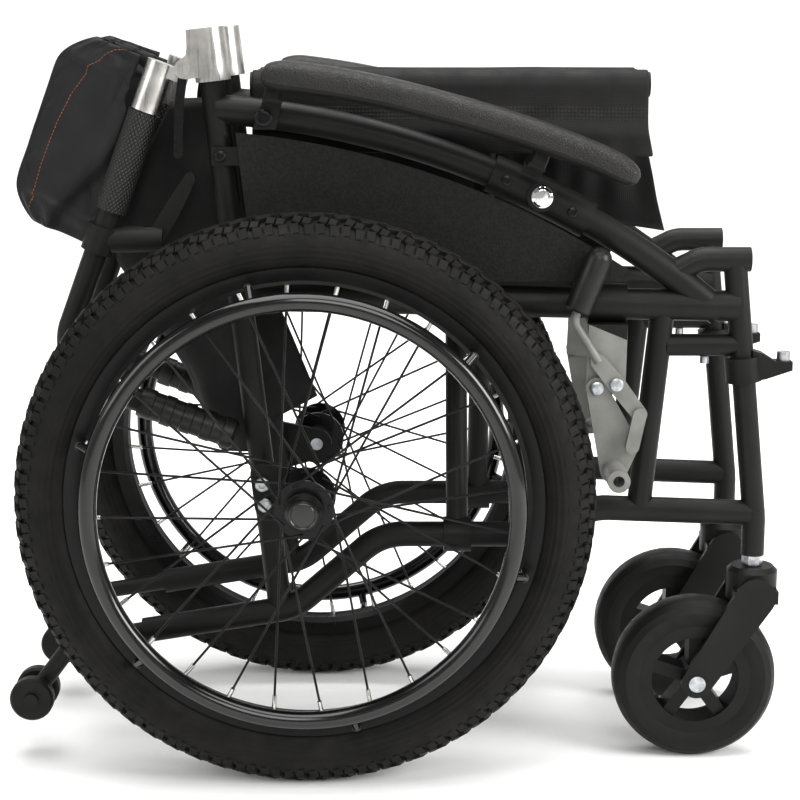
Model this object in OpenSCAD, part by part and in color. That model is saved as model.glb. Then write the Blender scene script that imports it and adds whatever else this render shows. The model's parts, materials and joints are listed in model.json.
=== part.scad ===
// Folded all-terrain wheelchair, standing on its wheels with the back folded down.
// Millimetres. +X is forward, +Z is up, the floor is Z = 0 and the chair's right side is -Y.
// Inside the modules x is measured from the rear axle and y from the right frame's plane,
// with -y pointing outwards. The left side is the right side mirrored.

/* [Stance] */
// Half the distance between the two side frames while folded
frame_y = 80; // [76:1:90]
// Distance from a side frame's plane out to its rear wheel's middle plane
wheel_out = 67; // [64:1:80]
// Half the distance between the two side frames when opened
open_y = 205; // [180:1:230]
// Distance from the rear axle forward to the caster stem
stem_x = 405.5; // [400:0.5:412]

/* [Rear wheels] */
// Outside diameter of the rear tyres
wheel_d = 510; // [490:1:514]
// Width of the rear tyres
tyre_w = 54; // [46:1:58]
// Diameter over the rim's flanges
rim_d = 418; // [400:1:424]
// Number of spokes in a rear wheel
spoke_n = 28; // [20:4:36]
// Diameter of a spoke
spoke_d = 2.2; // [1.8:0.1:2.6]
// Diameter of the push rim's tube
push_d = 16; // [12:0.5:18]
// Number of push-rim tabs
tab_n = 6; // [4:1:8]
// Diameter of the rear axle
axle_d = 12; // [10:0.5:14]

/* [Casters] */
// Diameter of the caster wheels
caster_d = 150; // [140:1:156]
// Width of the caster tyres
caster_w = 40; // [30:1:42]
// Distance a caster trails behind its stem
trail = 51.5; // [46:0.5:54]

/* [Frame tubes] */
// Diameter of the rear posts and the canes
post_d = 22; // [20:0.5:22.5]
// Diameter of the lower tubes
low_d = 23; // [22.5:0.5:24]
// Diameter of the seat side tubes
seat_d = 28; // [24:0.5:29]
// Diameter of the curved arm tubes
arm_d = 26; // [22:0.5:27]
// Diameter of the front posts
front_d = 21; // [19:0.5:23]
// Diameter of the cross-brace arms
brace_d = 20; // [16:0.5:21]
// Diameter of the seat rails
rail_d = 22; // [18:0.5:23]
// Thickness of the side guard sheets
guard_t = 3; // [1.5:0.5:3.5]

/* [Back] */
// Angle the canes swing through from folded to upright
cane_fold = 153; // [140:1:155]
// Length of a cane from its hinge to the handle
cane_len = 293; // [270:1:310]
// Length of a push grip
grip_len = 91; // [70:1:95]
// Thickness of a back leaf at its crown
leaf_t = 14; // [8:1:16]

/* [Arm rest] */
// Width of an armrest pad
pad_w = 44; // [36:1:48]
// Thickness of an armrest pad
pad_t = 24; // [18:1:26]

/* [Small parts] */
// Radial clearance of a running pin in its bore
run_gap = 0.05; // [0.02:0.01:0.09]
// Clearance between close parts
seat_gap = 0.3; // [0.2:0.05:0.5]
// Travel of the arm latch button
button_travel = 3; // [2:0.5:4]

/* [Hidden] */
$fn = 64;
// How far the legrest tongues reach forward and the anti-tip wheels reach back
front_reach = 434;
antitip_p = [-255.6, 57];
antitip_r = 20;
back_reach = antitip_r - antitip_p[0];
shift_x = (back_reach - front_reach) / 2;
post_r = post_d / 2;
low_r = low_d / 2;
seat_r = seat_d / 2;
arm_r = arm_d / 2;
front_r = front_d / 2;
brace_r = brace_d / 2;
rail_r = rail_d / 2;
axle_r = axle_d / 2;
wheel_r = wheel_d / 2;
rim_r = rim_d / 2;
caster_r = caster_d / 2;
axle_z = wheel_r;
// Rear post axis, from its foot on the lower tube to its top
post_foot = [-27, 138];
post_top = [-81, 616];
lean = atan2(post_foot[0] - post_top[0], post_top[1] - post_foot[1]);
function post_x(z) = post_foot[0] - (z - post_foot[1]) * tan(lean);
// Lower tube path, level where the cross brace turns on it
low_z = 209;
low_path = [[-153, 117], [-14, 139.5], [66, low_z], [192, low_z], [262, 234], [402, 229]];
low_end_dir = (low_path[0] - low_path[1]) / norm(low_path[0] - low_path[1]);
// Curved arm tube, an arc about one centre
arc_c = [-126.6, -171.4];
arc_r = 766;
function arc_p(r, a) = [arc_c[0] + r * sin(a), arc_c[1] + r * cos(a)];
function arc_a(x, r) = asin((x - arc_c[0]) / r);
// Seat side tube ends and front post
seat_back_z = 429;
seat_front_z = 419;
front_top = [stem_x - 24.8, 461];
front_bend = [stem_x, 225];
front_foot_z = 190;
function front_x(z) = front_bend[0] + (front_top[0] - front_bend[0])
    * (z - front_bend[1]) / (front_top[1] - front_bend[1]);
seat_back_x = post_x(seat_back_z);
seat_slope = atan2(seat_back_z - seat_front_z, front_x(seat_front_z) - seat_back_x);
function seat_z(x) = seat_back_z - (x - seat_back_x) * tan(seat_slope);
// Back hinge, where a cane turns behind the top of its post
hinge_off = 21.5;
hinge_up = 14.5;
foot_x = post_top[0] - hinge_up * sin(lean);
foot_z = post_top[1] + hinge_up * cos(lean);
pivot_x = foot_x - hinge_off * cos(lean);
pivot_z = foot_z - hinge_off * sin(lean);
sock_in = 13.3;
sock_out = 16.5;
knuckle_r = 12.5;
handle_bend = 45;
// Folded cane: its foot and its two directions, and how far its handle reaches towards the post
fold_t = lean + cane_fold;
fold_foot = [
    pivot_x + (foot_x - pivot_x) * cos(cane_fold) - (foot_z - pivot_z) * sin(cane_fold),
    pivot_z + (foot_x - pivot_x) * sin(cane_fold) + (foot_z - pivot_z) * cos(cane_fold)
];
function behind_post(p) = (post_x(p[1]) - p[0]) * cos(lean);
handle_clear = post_r + 9.4;
handle_root = fold_foot + cane_len * [-sin(fold_t), cos(fold_t)];
handle_step = behind_post(handle_root) - behind_post(handle_root + [-cos(fold_t), -sin(fold_t)]);
handle_reach = (behind_post(handle_root) - handle_clear) / handle_step;
handle_from = handle_reach - grip_len;
// Armrest pivot, latch, handle lever, guard clip, brake and catch positions
arm_pivot = [-35, 586.6];
latch_x = 207;
lever_p = [-134, 479];
clip_p = [post_x(553), 553];
brake_p1 = [257, 350];
brake_p2 = [274, 354];
brake_e = [295, 327];
brake_f = [289, 298];
roller_r = 10;
roller_reach = wheel_r + roller_r + 9.4;
roller_z = 275;
roller_x = sqrt(roller_reach * roller_reach - pow(roller_z - axle_z, 2));
catch_z = 372;
inner_z = 384;
inner_r = 10;
catch_top = inner_z - inner_r - 2 * seat_gap;
// Cross brace, two arms of equal length turning on one bolt
brace_lo = 224;
brace_up = 200;
brace_knee = 0.8;
rail_off = 24;
rail_x = -50;
rail_len = 355;
brace_a0 = acos(frame_y / brace_lo);
brace_x = 135;
brace_step = brace_d + 4;
pivot_bolt_r = 5;
bolt_z = low_z + brace_lo * sin(brace_a0);
rail_y = brace_up * cos(brace_a0) - rail_off * sin(brace_a0);
rail_z = bolt_z + brace_up * sin(brace_a0) + rail_off * cos(brace_a0);
// Back leaves, four flat panels folded to a W between the canes
leaf_y = frame_y / 2;
leaf_w = open_y / 2;
leaf_a = acos(leaf_y / leaf_w);
leaf_lo = 2;
leaf_hi = 180;
// Lower back cloth, hung from the posts and folded to a W: heights of its edge on the post, of
// its rear folds and of its middle fold, and how far back the folds lie at each height
skirt_t = 2.4;
skirt_top = 598;
skirt_foot = [283, 277, 322];
skirt_edge_y = frame_y - seat_r - 2 * seat_gap;
skirt_fold_y = 0.45 * frame_y;
function skirt_rear_x(z) = lookup(z, [
    [277, -92], [343, -116], [400, -152], [452, -186], [480, -184], [540, -160], [598, -126]
]);
function skirt_mid_x(z) = lookup(z, [[322, 5], [470, -55], [598, -92]]);

// Placing

module on_right() {
    translate([shift_x, -frame_y, 0]) children();
}

module on_left() {
    mirror([0, 1, 0]) on_right() children();
}

module on_middle() {
    translate([shift_x, 0, 0]) children();
}

// Turns what is drawn along +Z so it runs along -Y at one point of the side view
module across(p, y) {
    translate([p[0], y, p[1]]) rotate([90, 0, 0]) children();
}

// A flat plate in the side view, from y outwards by t
module plate(y, t) {
    translate([0, y, 0]) rotate([90, 0, 0]) linear_extrude(t) children();
}

module rod(a, b, r) {
    d = b - a;
    translate(a)
        rotate([0, acos(d[2] / norm(d)), atan2(d[1], d[0])])
            cylinder(r = r, h = norm(d));
}

function at(p, y) = [p[0], y, p[1]];

module side_rod(a, b, r, y = 0) {
    rod(at(a, y), at(b, y), r);
}

// A tube bent along points of the side view. The elbows are a hair thicker than the
// straight lengths, which run a little way into them.
elbow_more = 0.12;
elbow_lap = 2;
function run(p, i) = (p[i + 1] - p[i]) / norm(p[i + 1] - p[i]);
function turn(p, i) = let (a = run(p, i - 1), b = run(p, i))
    atan2(a[0] * b[1] - a[1] * b[0], a * b);
function trim(p, i, bend) = (i <= 0 || i >= len(p) - 1) ? 0 : bend * tan(abs(turn(p, i)) / 2);

module bent_tube(p, r, bend) {
    for (i = [0 : len(p) - 2]) {
        lap_a = i == 0 ? 0 : elbow_lap;
        lap_b = i == len(p) - 2 ? 0 : elbow_lap;
        side_rod(p[i] + (trim(p, i, bend) - lap_a) * run(p, i),
            p[i + 1] - (trim(p, i + 1, bend) - lap_b) * run(p, i), r);
    }
    for (i = [1 : len(p) - 2]) {
        a = run(p, i - 1);
        s = turn(p, i) > 0 ? 1 : -1;
        c = p[i] - trim(p, i, bend) * a + bend * s * [-a[1], a[0]];
        first = atan2(a[1], a[0]) - 90 * s - (s < 0 ? abs(turn(p, i)) : 0);
        across(c, 0) rotate([0, 0, first]) rotate_extrude(angle = abs(turn(p, i)))
            translate([bend, 0]) circle(r = r + elbow_more);
    }
}

// A skin over rows of points, each row a closed loop
module loft(rows) {
    n = len(rows);
    m = len(rows[0]);
    points = [for (r = rows) for (p = r) p];
    sides = [for (i = [0 : n - 2]) for (j = [0 : m - 1]) for (k = [0, 1])
        k == 0
            ? [i * m + j, i * m + (j + 1) % m, (i + 1) * m + (j + 1) % m]
            : [i * m + j, (i + 1) * m + (j + 1) % m, (i + 1) * m + j]];
    first = [for (j = [0 : m / 2 - 2]) for (k = [0, 1])
        k == 0 ? [j, m - 2 - j, j + 1] : [j, m - 1 - j, m - 2 - j]];
    last = [for (j = [0 : m / 2 - 2]) for (k = [0, 1]) let (b = (n - 1) * m)
        k == 0 ? [b + j, b + j + 1, b + m - 2 - j] : [b + j, b + m - 2 - j, b + m - 1 - j]];
    polyhedron(points, concat(sides, first, last));
}

// Places what is drawn on an upright cane, z along the cane and x forward
module upright() {
    translate([foot_x, 0, foot_z]) rotate([0, -lean, 0]) children();
}

module folded() {
    translate([pivot_x, 0, pivot_z]) rotate([0, -cane_fold, 0])
        translate([-pivot_x, 0, -pivot_z]) upright() children();
}

// Side frame, one weldment of bent tubes

module arm_arc(section_in, section_out, a0, a1) {
    across(arc_c, 0) rotate([0, 0, 90 - a1]) rotate_extrude(angle = a1 - a0)
        translate([arc_r, 0]) difference() {
            circle(r = section_out);
            if (section_in > 0) circle(r = section_in);
        }
}

module side_frame() {
    color([0.09, 0.09, 0.1]) difference() {
        union() {
            side_rod(post_foot, [post_x(foot_z - 1), foot_z - 1], post_r);
            bent_tube(low_path, low_r, 55);
            side_rod([seat_back_x, seat_back_z], [front_x(seat_front_z), seat_front_z], seat_r);
            arm_arc(0, arm_r, arc_a(-78, arc_r), arc_a(368, arc_r));
            bent_tube([front_top, front_bend, [stem_x, front_foot_z]], front_r, 120);
            bent_tube([[325, 449], [350, 461], [stem_x - 11, 461]], front_r + 0.5, 30);
            side_rod([321, inner_z], [front_x(inner_z), inner_z], inner_r);
            side_rod([318, seat_z(318)], [300, 233], 11);
        }
        side_rod(low_path[0] + 2 * low_end_dir, low_path[0] - 60 * low_end_dir, 8 + run_gap);
        translate([stem_x, 0, front_foot_z - 1]) cylinder(r = 6 + run_gap, h = 34);
    }
}

module side_guard() {
    rear = 16;
    top_r = arc_r - arm_r - 5;
    color([0.12, 0.12, 0.13]) plate(-arm_r - 1.5, guard_t) intersection() {
        translate(arc_c) circle(r = top_r, $fn = 200);
        polygon([
            [post_x(443.5) + rear, 443.5], [283, 443.5], [289, 447], [290, 452], [250, 500],
            [200, 620], [post_x(620) + rear, 620]
        ]);
    }
}

// Clamps, plugs and brackets fixed to the frame

module axle_mount() {
    difference() {
        union() {
            plate(-post_r - seat_gap, 6) hull() {
                translate([0, axle_z]) circle(r = 15, $fn = 32);
                translate([post_x(axle_z - 16), axle_z - 16]) circle(r = 10, $fn = 32);
                translate([post_x(axle_z + 14), axle_z + 14]) circle(r = 10, $fn = 32);
            }
            across([0, axle_z], -post_r - 5) cylinder(r = 14, h = wheel_out - 29.5 - post_r - 5);
        }
        across([0, axle_z], 0) cylinder(r = axle_r + run_gap, h = wheel_out);
        for (z = [axle_z - 14, axle_z + 5])
            across([post_x(z), z], 0) cylinder(r = 3 + run_gap, h = 40);
    }
}

module latch_bracket() {
    mid = arc_a(latch_x, arc_r);
    p = arc_p(arc_r, mid);
    difference() {
        union() {
            arm_arc(arm_r + run_gap, arm_r + 4, mid - 3.6, mid + 3.6);
            across(p, -arm_r - 1.5) cylinder(r = 13, h = 6);
        }
        across(p, -arm_r - 1) cylinder(r = 9.5 + seat_gap, h = 20);
    }
}

module catch_clamp() {
    difference() {
        union() {
            side_rod([front_x(catch_z - 21), catch_z - 21], [front_x(catch_top), catch_top], 16);
            plate(9, 18) polygon([
                [front_x(catch_z) + 8, catch_z - 20], [front_x(catch_z) + 20, catch_z - 18],
                [front_reach, catch_z - 10], [front_reach, catch_z - 2], [front_reach - 15, catch_z - 2],
                [front_x(catch_z) + 18, catch_z + 5], [front_x(catch_z) + 8, catch_z + 8]
            ]);
        }
        side_rod([front_x(catch_z - 40), catch_z - 40], [front_x(catch_z + 40), catch_z + 40],
            front_r + run_gap);
    }
}

module frame_fittings() {
    color([0.1, 0.1, 0.11]) {
        axle_mount();
        latch_bracket();
        catch_clamp();
        // Guard clip on the rear post
        difference() {
            plate(-post_r - 0.1, 3) translate(clip_p - [8, 8]) square([34, 16]);
            across(clip_p, 0) cylinder(r = 2.5 + run_gap, h = 30);
        }
    }
}

// Bright metal parts: axle, bolts, screws and the caster stem

module hardware() {
    color([0.72, 0.73, 0.75]) {
        across([0, axle_z], -post_r - 1) cylinder(r = axle_r, h = wheel_out + 40.5 - post_r - 1);
        for (z = [axle_z - 14, axle_z + 5]) {
            across([post_x(z), z], -post_r - 0.05) cylinder(r = 3, h = 6.4);
            across([post_x(z), z], -post_r - 6.35) cylinder(r = 6.5, h = 4);
        }
        translate([stem_x, 0, 152]) cylinder(r = 6, h = front_foot_z + 32 - 152);
        translate([stem_x, 0, front_foot_z - 8.5]) cylinder(r = 9.8, h = 8.2, $fn = 6);
        across(clip_p, -post_r - 0.05) cylinder(r = 2.5, h = 3.2);
        across(clip_p, -post_r - 3.15) cylinder(r = 5, h = 2.5);
        across(arm_pivot, -arm_r - 0.05) cylinder(r = 4, h = 10.5);
        across(arm_pivot, -arm_r - 9.5) cylinder(r = 7.5, h = 3);
        translate([front_reach - 7, 0, catch_z - 1.95]) cylinder(r = 6, h = 8);
        for (x = [latch_x - 31, latch_x + 27]) {
            p = arc_p(arc_r, arc_a(x, arc_r));
            across(p, -arm_r - 4.05) cylinder(r = 4.5, h = 3);
        }
        translate([356, 0, 367.5]) cylinder(r = 4, h = 6.3);
    }
}

// Rear wheel

module hub() {
    color([0.08, 0.08, 0.09]) across([0, axle_z], -wheel_out) difference() {
        union() {
            translate([0, 0, -29]) cylinder(r = 14, h = 58);
            translate([0, 0, -26.5]) cylinder(r = 26, h = 3);
            translate([0, 0, 23.5]) cylinder(r = 26, h = 3);
            translate([0, 0, 28]) cylinder(r = 17, h = 8);
            translate([0, 0, 35]) cylinder(r1 = 17, r2 = 13, h = 6);
            translate([0, 0, 40]) cylinder(r = 13, h = 4.5);
        }
        translate([0, 0, -40]) cylinder(r = axle_r + run_gap, h = 81);
    }
}

module rim() {
    half = tyre_w * 17 / 54;
    color([0.1, 0.1, 0.1]) across([0, axle_z], -wheel_out) rotate_extrude($fn = 128) polygon([
        [rim_r - 15, -half + 8], [rim_r - 11, -half + 2], [rim_r, -half], [rim_r, -half + 1.8],
        [rim_r - 6, -half + 2.5], [rim_r - 8, -half + 7], [rim_r - 10, -half + 9],
        [rim_r - 10, half - 9], [rim_r - 8, half - 7], [rim_r - 6, half - 2.5],
        [rim_r, half - 1.8], [rim_r, half], [rim_r - 11, half - 2], [rim_r - 15, half - 8]
    ]);
}

module tyre() {
    half = tyre_w * 17 / 54;
    tall = wheel_r - rim_r + 8;
    color([0.07, 0.07, 0.07]) across([0, axle_z], -wheel_out) rotate_extrude($fn = 128) {
        difference() {
            translate([wheel_r - tall / 2, 0]) scale([tall / tyre_w, 1]) circle(r = tyre_w / 2);
            translate([wheel_r - tall / 2, 0]) scale([tall / tyre_w, 1]) circle(r = tyre_w / 2 - 5);
            translate([rim_r - 60, -60]) square([60.4, 120]);
        }
        for (s = [-1, 1])
            translate([rim_r - 5, s * (half - 4.2) - 1.8]) square([9, 3.6]);
    }
}

module spokes() {
    color([0.15, 0.15, 0.16]) across([0, axle_z], -wheel_out) for (i = [0 : spoke_n - 1]) {
        a = 360 * i / spoke_n + 4;
        side = i % 2 == 0 ? -1 : 1;
        lead = floor(i / 2) % 2 == 0 ? -1 : 1;
        b = a + lead * 72;
        p = [22 * cos(b), 22 * sin(b), side * 25 + lead * 2.4];
        q = [(rim_r - 14) * cos(a), (rim_r - 14) * sin(a), side * 3];
        rod(p, q, spoke_d / 2);
        rod(q - 14 * (q - p) / norm(q - p), q, 2);
    }
}

module push_rim() {
    ring = rim_r - 25;
    out = 45;
    half = tyre_w * 17 / 54;
    color([0.1, 0.1, 0.1]) across([0, axle_z], -wheel_out) {
        translate([0, 0, out]) rotate_extrude($fn = 128) translate([ring, 0]) circle(r = push_d / 2);
        for (i = [0 : tab_n - 1]) rotate([0, 0, 360 * i / tab_n + 43]) {
            rod([rim_r - 10, 0, half - 0.8], [rim_r - 10, 0, out - 10], 4);
            rod([rim_r - 10, 0, out - 12], [ring + 1, 0, out], 4);
        }
    }
}

// Caster

module caster_fork() {
    top = front_foot_z - 10;
    low = max(150, caster_r + 75);
    half = caster_w / 2 + 2.5;
    hub_p = [stem_x - trail, caster_r];
    color([0.08, 0.08, 0.08]) difference() {
        union() {
            translate([stem_x, 0, low]) cylinder(r = 23, h = top - low - 4);
            translate([stem_x, 0, top - 4.1]) cylinder(r1 = 23, r2 = 19, h = 4.1);
            translate([stem_x - 20, -half - 5.5, low]) cube([40, 2 * half + 11, 12]);
            for (y = [half, -half - 5.5]) plate(y + 5.5, 5.5) hull() {
                translate(hub_p) circle(r = 14, $fn = 32);
                translate([stem_x, low + 6]) circle(r = 18, $fn = 32);
            }
            across(hub_p, half + 8) cylinder(r = 7.5, h = 3);
            across(hub_p, -half - 5) cylinder(r = 7.5, h = 3);
            across(hub_p, half + 6) cylinder(r = 5, h = 2 * half + 12);
        }
        translate([stem_x, 0, 100]) cylinder(r = 6 + run_gap, h = 100);
    }
}

module caster_core() {
    hub_p = [stem_x - trail, caster_r];
    rim_in = caster_r * 40 / 75;
    rim_out = caster_r * 51 / 75;
    color([0.12, 0.12, 0.13]) across(hub_p, caster_w / 2 - 3) difference() {
        union() {
            difference() {
                cylinder(r = rim_out, h = caster_w - 6);
                translate([0, 0, -1]) cylinder(r = rim_in, h = caster_w);
            }
            translate([0, 0, -2]) cylinder(r = 13, h = caster_w - 2);
            for (i = [0 : 4]) rotate([0, 0, 72 * i + 90])
                translate([8, -6, 4]) cube([rim_in - 6, 12, caster_w - 14]);
        }
        translate([0, 0, -10]) cylinder(r = 5 + run_gap, h = caster_w + 20);
    }
}

module caster_tyre() {
    hub_p = [stem_x - trail, caster_r];
    r0 = caster_r * 51 / 75 + 0.1;
    w = caster_w / 2;
    color([0.16, 0.16, 0.17]) across(hub_p, 0) rotate_extrude($fn = 128) polygon([
        [r0, -w + 3], [r0 + 6, -w + 1], [caster_r - 11, -w], [caster_r - 5, -w + 3],
        [caster_r - 1, -w + 9], [caster_r, -w + 14], [caster_r, w - 14], [caster_r - 1, w - 9],
        [caster_r - 5, w - 3], [caster_r - 11, w], [r0 + 6, w - 1], [r0, w - 3]
    ]);
}

// Wheel lock

module brake_plate() {
    color([0.35, 0.36, 0.38]) difference() {
        union() {
            side_rod([250, seat_z(250)], [284, seat_z(284)], seat_r + 4);
            translate([250, -24, 392]) cube([34, 24, 14]);
            plate(-20, 4) polygon([
                [248, 345], [264, 342], [283, 346], [284, 406], [250, 406]
            ]);
            across(brake_p1, -20) cylinder(r = 4, h = 9);
            across(brake_p1, -29) cylinder(r = 6, h = 2);
            across(brake_p2, -20) cylinder(r = 4, h = 14);
            across(brake_p2, -33.5) cylinder(r = 6, h = 2);
        }
        side_rod([240, seat_z(240)], [294, seat_z(294)], seat_r + run_gap);
    }
}

module brake_lever() {
    color([0.4, 0.41, 0.43]) difference() {
        union() {
            plate(-29, 4) hull() {
                translate(brake_p2) circle(r = 8, $fn = 32);
                translate(brake_e) circle(r = 7, $fn = 32);
            }
            plate(-29, 4) hull() {
                translate(brake_p2) circle(r = 8, $fn = 32);
                translate([258, 374]) circle(r = 7, $fn = 32);
            }
            translate([0, -32, 0]) bent_tube([[258, 374], [235, 410], [255, 461]], 4, 14);
        }
        across(brake_p2, 0) cylinder(r = 4 + run_gap, h = 60);
    }
}

module brake_grip() {
    color([0.06, 0.06, 0.06]) difference() {
        translate([238.5, -32, 419]) rotate([0, atan2(17.5, 44.6), 0]) rotate_extrude() polygon([
            [0, 0], [10.6, 0], [12, 2], [12, 47.9], [11.4, 51.6], [9.6, 55.6], [6.8, 58.4], [3.4, 59.8],
            [0, 60.2]
        ]);
        side_rod([230, 397.4], [255.05, 461.1], 4.05, -32);
    }
}

module brake_arm() {
    roll = [roller_x, roller_z];
    color([0.4, 0.41, 0.43]) difference() {
        union() {
            plate(-24.5, 4) hull() {
                translate(brake_p1) circle(r = 9, $fn = 32);
                translate(brake_f) circle(r = 7, $fn = 32);
                translate(roll) circle(r = 12, $fn = 32);
            }
            across(roll, -24.5) cylinder(r = roller_r, h = 48);
            across(brake_f, -28) cylinder(r = 4, h = 7);
            plate(-33.5, 3.5) hull() {
                translate(brake_f) circle(r = 6, $fn = 32);
                translate(brake_e) circle(r = 6, $fn = 32);
            }
        }
        across(brake_p1, 0) cylinder(r = 4 + run_gap, h = 60);
        across(roll, 0) cylinder(r = 5, h = 200);
    }
}

// Armrest

module armrest_bracket() {
    y0 = -arm_r - seat_gap - 4.5;
    color([0.1, 0.1, 0.1]) {
        difference() {
            union() {
                plate(y0, 3.5) polygon([
                    [arm_pivot[0] - 10, arm_pivot[1] - 10], [arm_pivot[0] + 10, arm_pivot[1] - 10],
                    arc_p(pad_under(8) - 1, 7.95), arc_p(pad_under(7) - 1, 6.75)
                ]);
                pad_tab(7.35, y0);
            }
            across(arm_pivot, 0) cylinder(r = 4 + run_gap, h = 60);
        }
        plate(y0, 3.5) polygon([
            arc_p(arc_r + 12, 23.9), arc_p(arc_r + 12, 25.1),
            arc_p(pad_under(25) - 1, 25.2), arc_p(pad_under(24) - 1, 23.8)
        ]);
        pad_tab(24.5, y0);
    }
}

// A tab under the pad, from the bracket's plate outwards
module pad_tab(a, y0) {
    p = arc_p(pad_under(a) - seat_gap - 3, a);
    translate([p[0], y0 - 27, p[1]]) rotate([0, a, 0]) translate([-8, 0, 0]) cube([16, 27, 3]);
}

function pad_top(a) = 806 + 12 * (a - 6.5) / 27;
function pad_under(a) = pad_top(a) - pad_t;

module armrest_pad() {
    a0 = 6.6;
    a1 = 30.9;
    n = 20;
    m = 16;
    y0 = -arm_r - 6 - pad_w / 2;
    color([0.07, 0.07, 0.07]) loft([for (i = [0 : n]) let (
        t = i / n,
        a = a0 + (a1 - a0) * t,
        end = min(1, 0.35 + 0.65 * sqrt(max(0, 1 - pow(1 - min(1, min(t, 1 - t) * 14), 2)))),
        r = pad_top(a) - pad_t / 2 - 8 * pow(max(0, t - 0.86) / 0.14, 2)
    ) [for (j = [0 : m - 1]) let (
        q = 360 * j / m,
        cy = sign(cos(q)) * pow(abs(cos(q)), 0.6),
        cz = sign(sin(q)) * pow(abs(sin(q)), 0.6),
        p = arc_p(r + cz * end * pad_t / 2, a)
    ) [p[0], y0 + cy * (0.6 + 0.4 * end) * pad_w / 2, p[1]]]]);
}

module latch_button() {
    p = arc_p(arc_r, arc_a(latch_x, arc_r));
    back = -arm_r - 1.5 - button_travel;
    color([0.85, 0.86, 0.88]) {
        across(p, back) cylinder(r = 9.5, h = 6.5);
        across(p, back - 6.4) cylinder(r1 = 9.5, r2 = 6.5, h = 1.6);
    }
}

// Back hinge, cane and handle

// Release lever that hangs from the socket's outer cheek
module release_lever() {
    end = [pivot_x - 6.5, pivot_z - 73];
    plate(-sock_in - 0.1, sock_out - sock_in - 0.2) {
        polygon([
            [pivot_x - 5, pivot_z - 5], [pivot_x + 3, pivot_z - 5], [pivot_x - 0.5, pivot_z - 28],
            [end[0] + 4, end[1]], [end[0] - 4, end[1]], [pivot_x - 8.5, pivot_z - 28]
        ]);
        translate(end) circle(r = 4, $fn = 32);
    }
}

module back_socket() {
    color([0.72, 0.73, 0.74]) release_lever();
    color([0.72, 0.73, 0.74]) upright() {
        difference() {
            union() {
                translate([0, 0, -13]) cylinder(r = sock_out, h = 46);
                rotate([90, 0, 0]) linear_extrude(2 * sock_out, center = true) polygon([
                    [0, -9], [-hinge_off, -8.5], [-hinge_off - 5, -7], [-hinge_off - 8, -3],
                    [-hinge_off - 8.3, 2], [-hinge_off - 6, 6.5], [-hinge_off - 1, 9],
                    [-sock_out - 1.8, 12], [-sock_out - 0.3, 18], [-sock_out + 0.4, 26],
                    [-sock_out + 1, 33], [0, 33]
                ]);
            }
            translate([0, 0, -20]) cylinder(r = post_r + run_gap, h = 30);
            translate([0, 0, -0.5]) cylinder(r = sock_in, h = 60);
            translate([-80, -sock_in, -0.5]) cube([80, 2 * sock_in, 60]);
            translate([-80, -sock_in, -30]) cube([80 - post_r - 2.4, 2 * sock_in, 60]);
        }
        for (s = [-1, 1]) translate([-hinge_off, s * (sock_out + 1.5), 0]) rotate([90, 0, 0])
            cylinder(r = 5.5, h = 3, center = true);
        translate([-hinge_off, 0, 0]) rotate([90, 0, 0])
            cylinder(r = 4, h = 2 * sock_out + 2, center = true);
    }
}

module cane_hinge() {
    color([0.72, 0.73, 0.74]) folded() difference() {
        union() {
            translate([0, 0, 2]) cylinder(r = knuckle_r, h = 45);
            translate([-hinge_off, 0, 0]) rotate([90, 0, 0]) cylinder(r = 7, h = 22, center = true);
            translate([-hinge_off, -9, 2]) cube([hinge_off, 18, 11]);
        }
        translate([-hinge_off, 0, 0]) rotate([90, 0, 0])
            cylinder(r = 4 + run_gap, h = 60, center = true);
        translate([0, 0, 20]) cylinder(r = post_r + run_gap, h = 60);
    }
}

module cane() {
    color([0.1, 0.1, 0.11]) {
        difference() {
            union() {
                folded() bent_tube([[0, 21], [0, cane_len], [-handle_from - 9, cane_len]],
                    post_r - 0.6, handle_bend);
                folded() translate([0, 0, 48]) cylinder(r = 14, h = 92);
                folded() translate([0, 0, 155]) cylinder(r = 14.2, h = 24);
                side_rod(lever_p - [46, 0], lever_p + [7, 0], 12);
            }
            translate(at(lever_p - [9, 20], -4.6)) cube([40, 9.2, 40]);
        }
        across(lever_p, 6) cylinder(r = 3, h = 12);
    }
}

module push_grip() {
    rib = (grip_len - 6) / 9;
    ribs = [for (i = [0 : 8]) each [
        [i % 2 == 0 ? 14 : 13, 3 + i * rib + (i == 0 ? 0 : 0.4)],
        [i % 2 == 0 ? 14 : 13, 3 + (i + 1) * rib - (i == 8 ? 0 : 0.4)]
    ]];
    color([0.07, 0.07, 0.07]) folded() translate([-handle_reach, 0, cane_len]) rotate([0, 90, 0])
        rotate_extrude() polygon(concat(
            [[0, 0], [11, 0]], ribs,
            [[13.4, grip_len], [post_r - 0.5, grip_len], [post_r - 0.5, grip_len - 9.2], [0, grip_len - 9.2]]
        ));
}

module clamp_lever() {
    color([0.09, 0.09, 0.09]) difference() {
        plate(4, 8) union() {
            hull() {
                translate(lever_p) circle(r = 8, $fn = 32);
                translate([-113, 514]) circle(r = 7, $fn = 32);
            }
            hull() {
                translate([-113, 514]) circle(r = 7, $fn = 32);
                translate([-102, 533]) circle(r = 5, $fn = 32);
            }
        }
        across(lever_p, 20) cylinder(r = 3 + run_gap, h = 40);
    }
}

// Anti-tip arm and its twin wheels

module antitip_arm() {
    color([0.1, 0.1, 0.1]) {
        bent_tube([low_path[0] - 48 * low_end_dir, low_path[0] + 66 * low_end_dir, antitip_p], 8, 30);
        across(antitip_p, 8.3) cylinder(r = 9, h = 16.6);
        across(antitip_p, 23) cylinder(r = 4, h = 46);
        across(antitip_p, 24.5) cylinder(r = 6.5, h = 2);
        across(antitip_p, -22.5) cylinder(r = 6.5, h = 2);
    }
}

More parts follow.
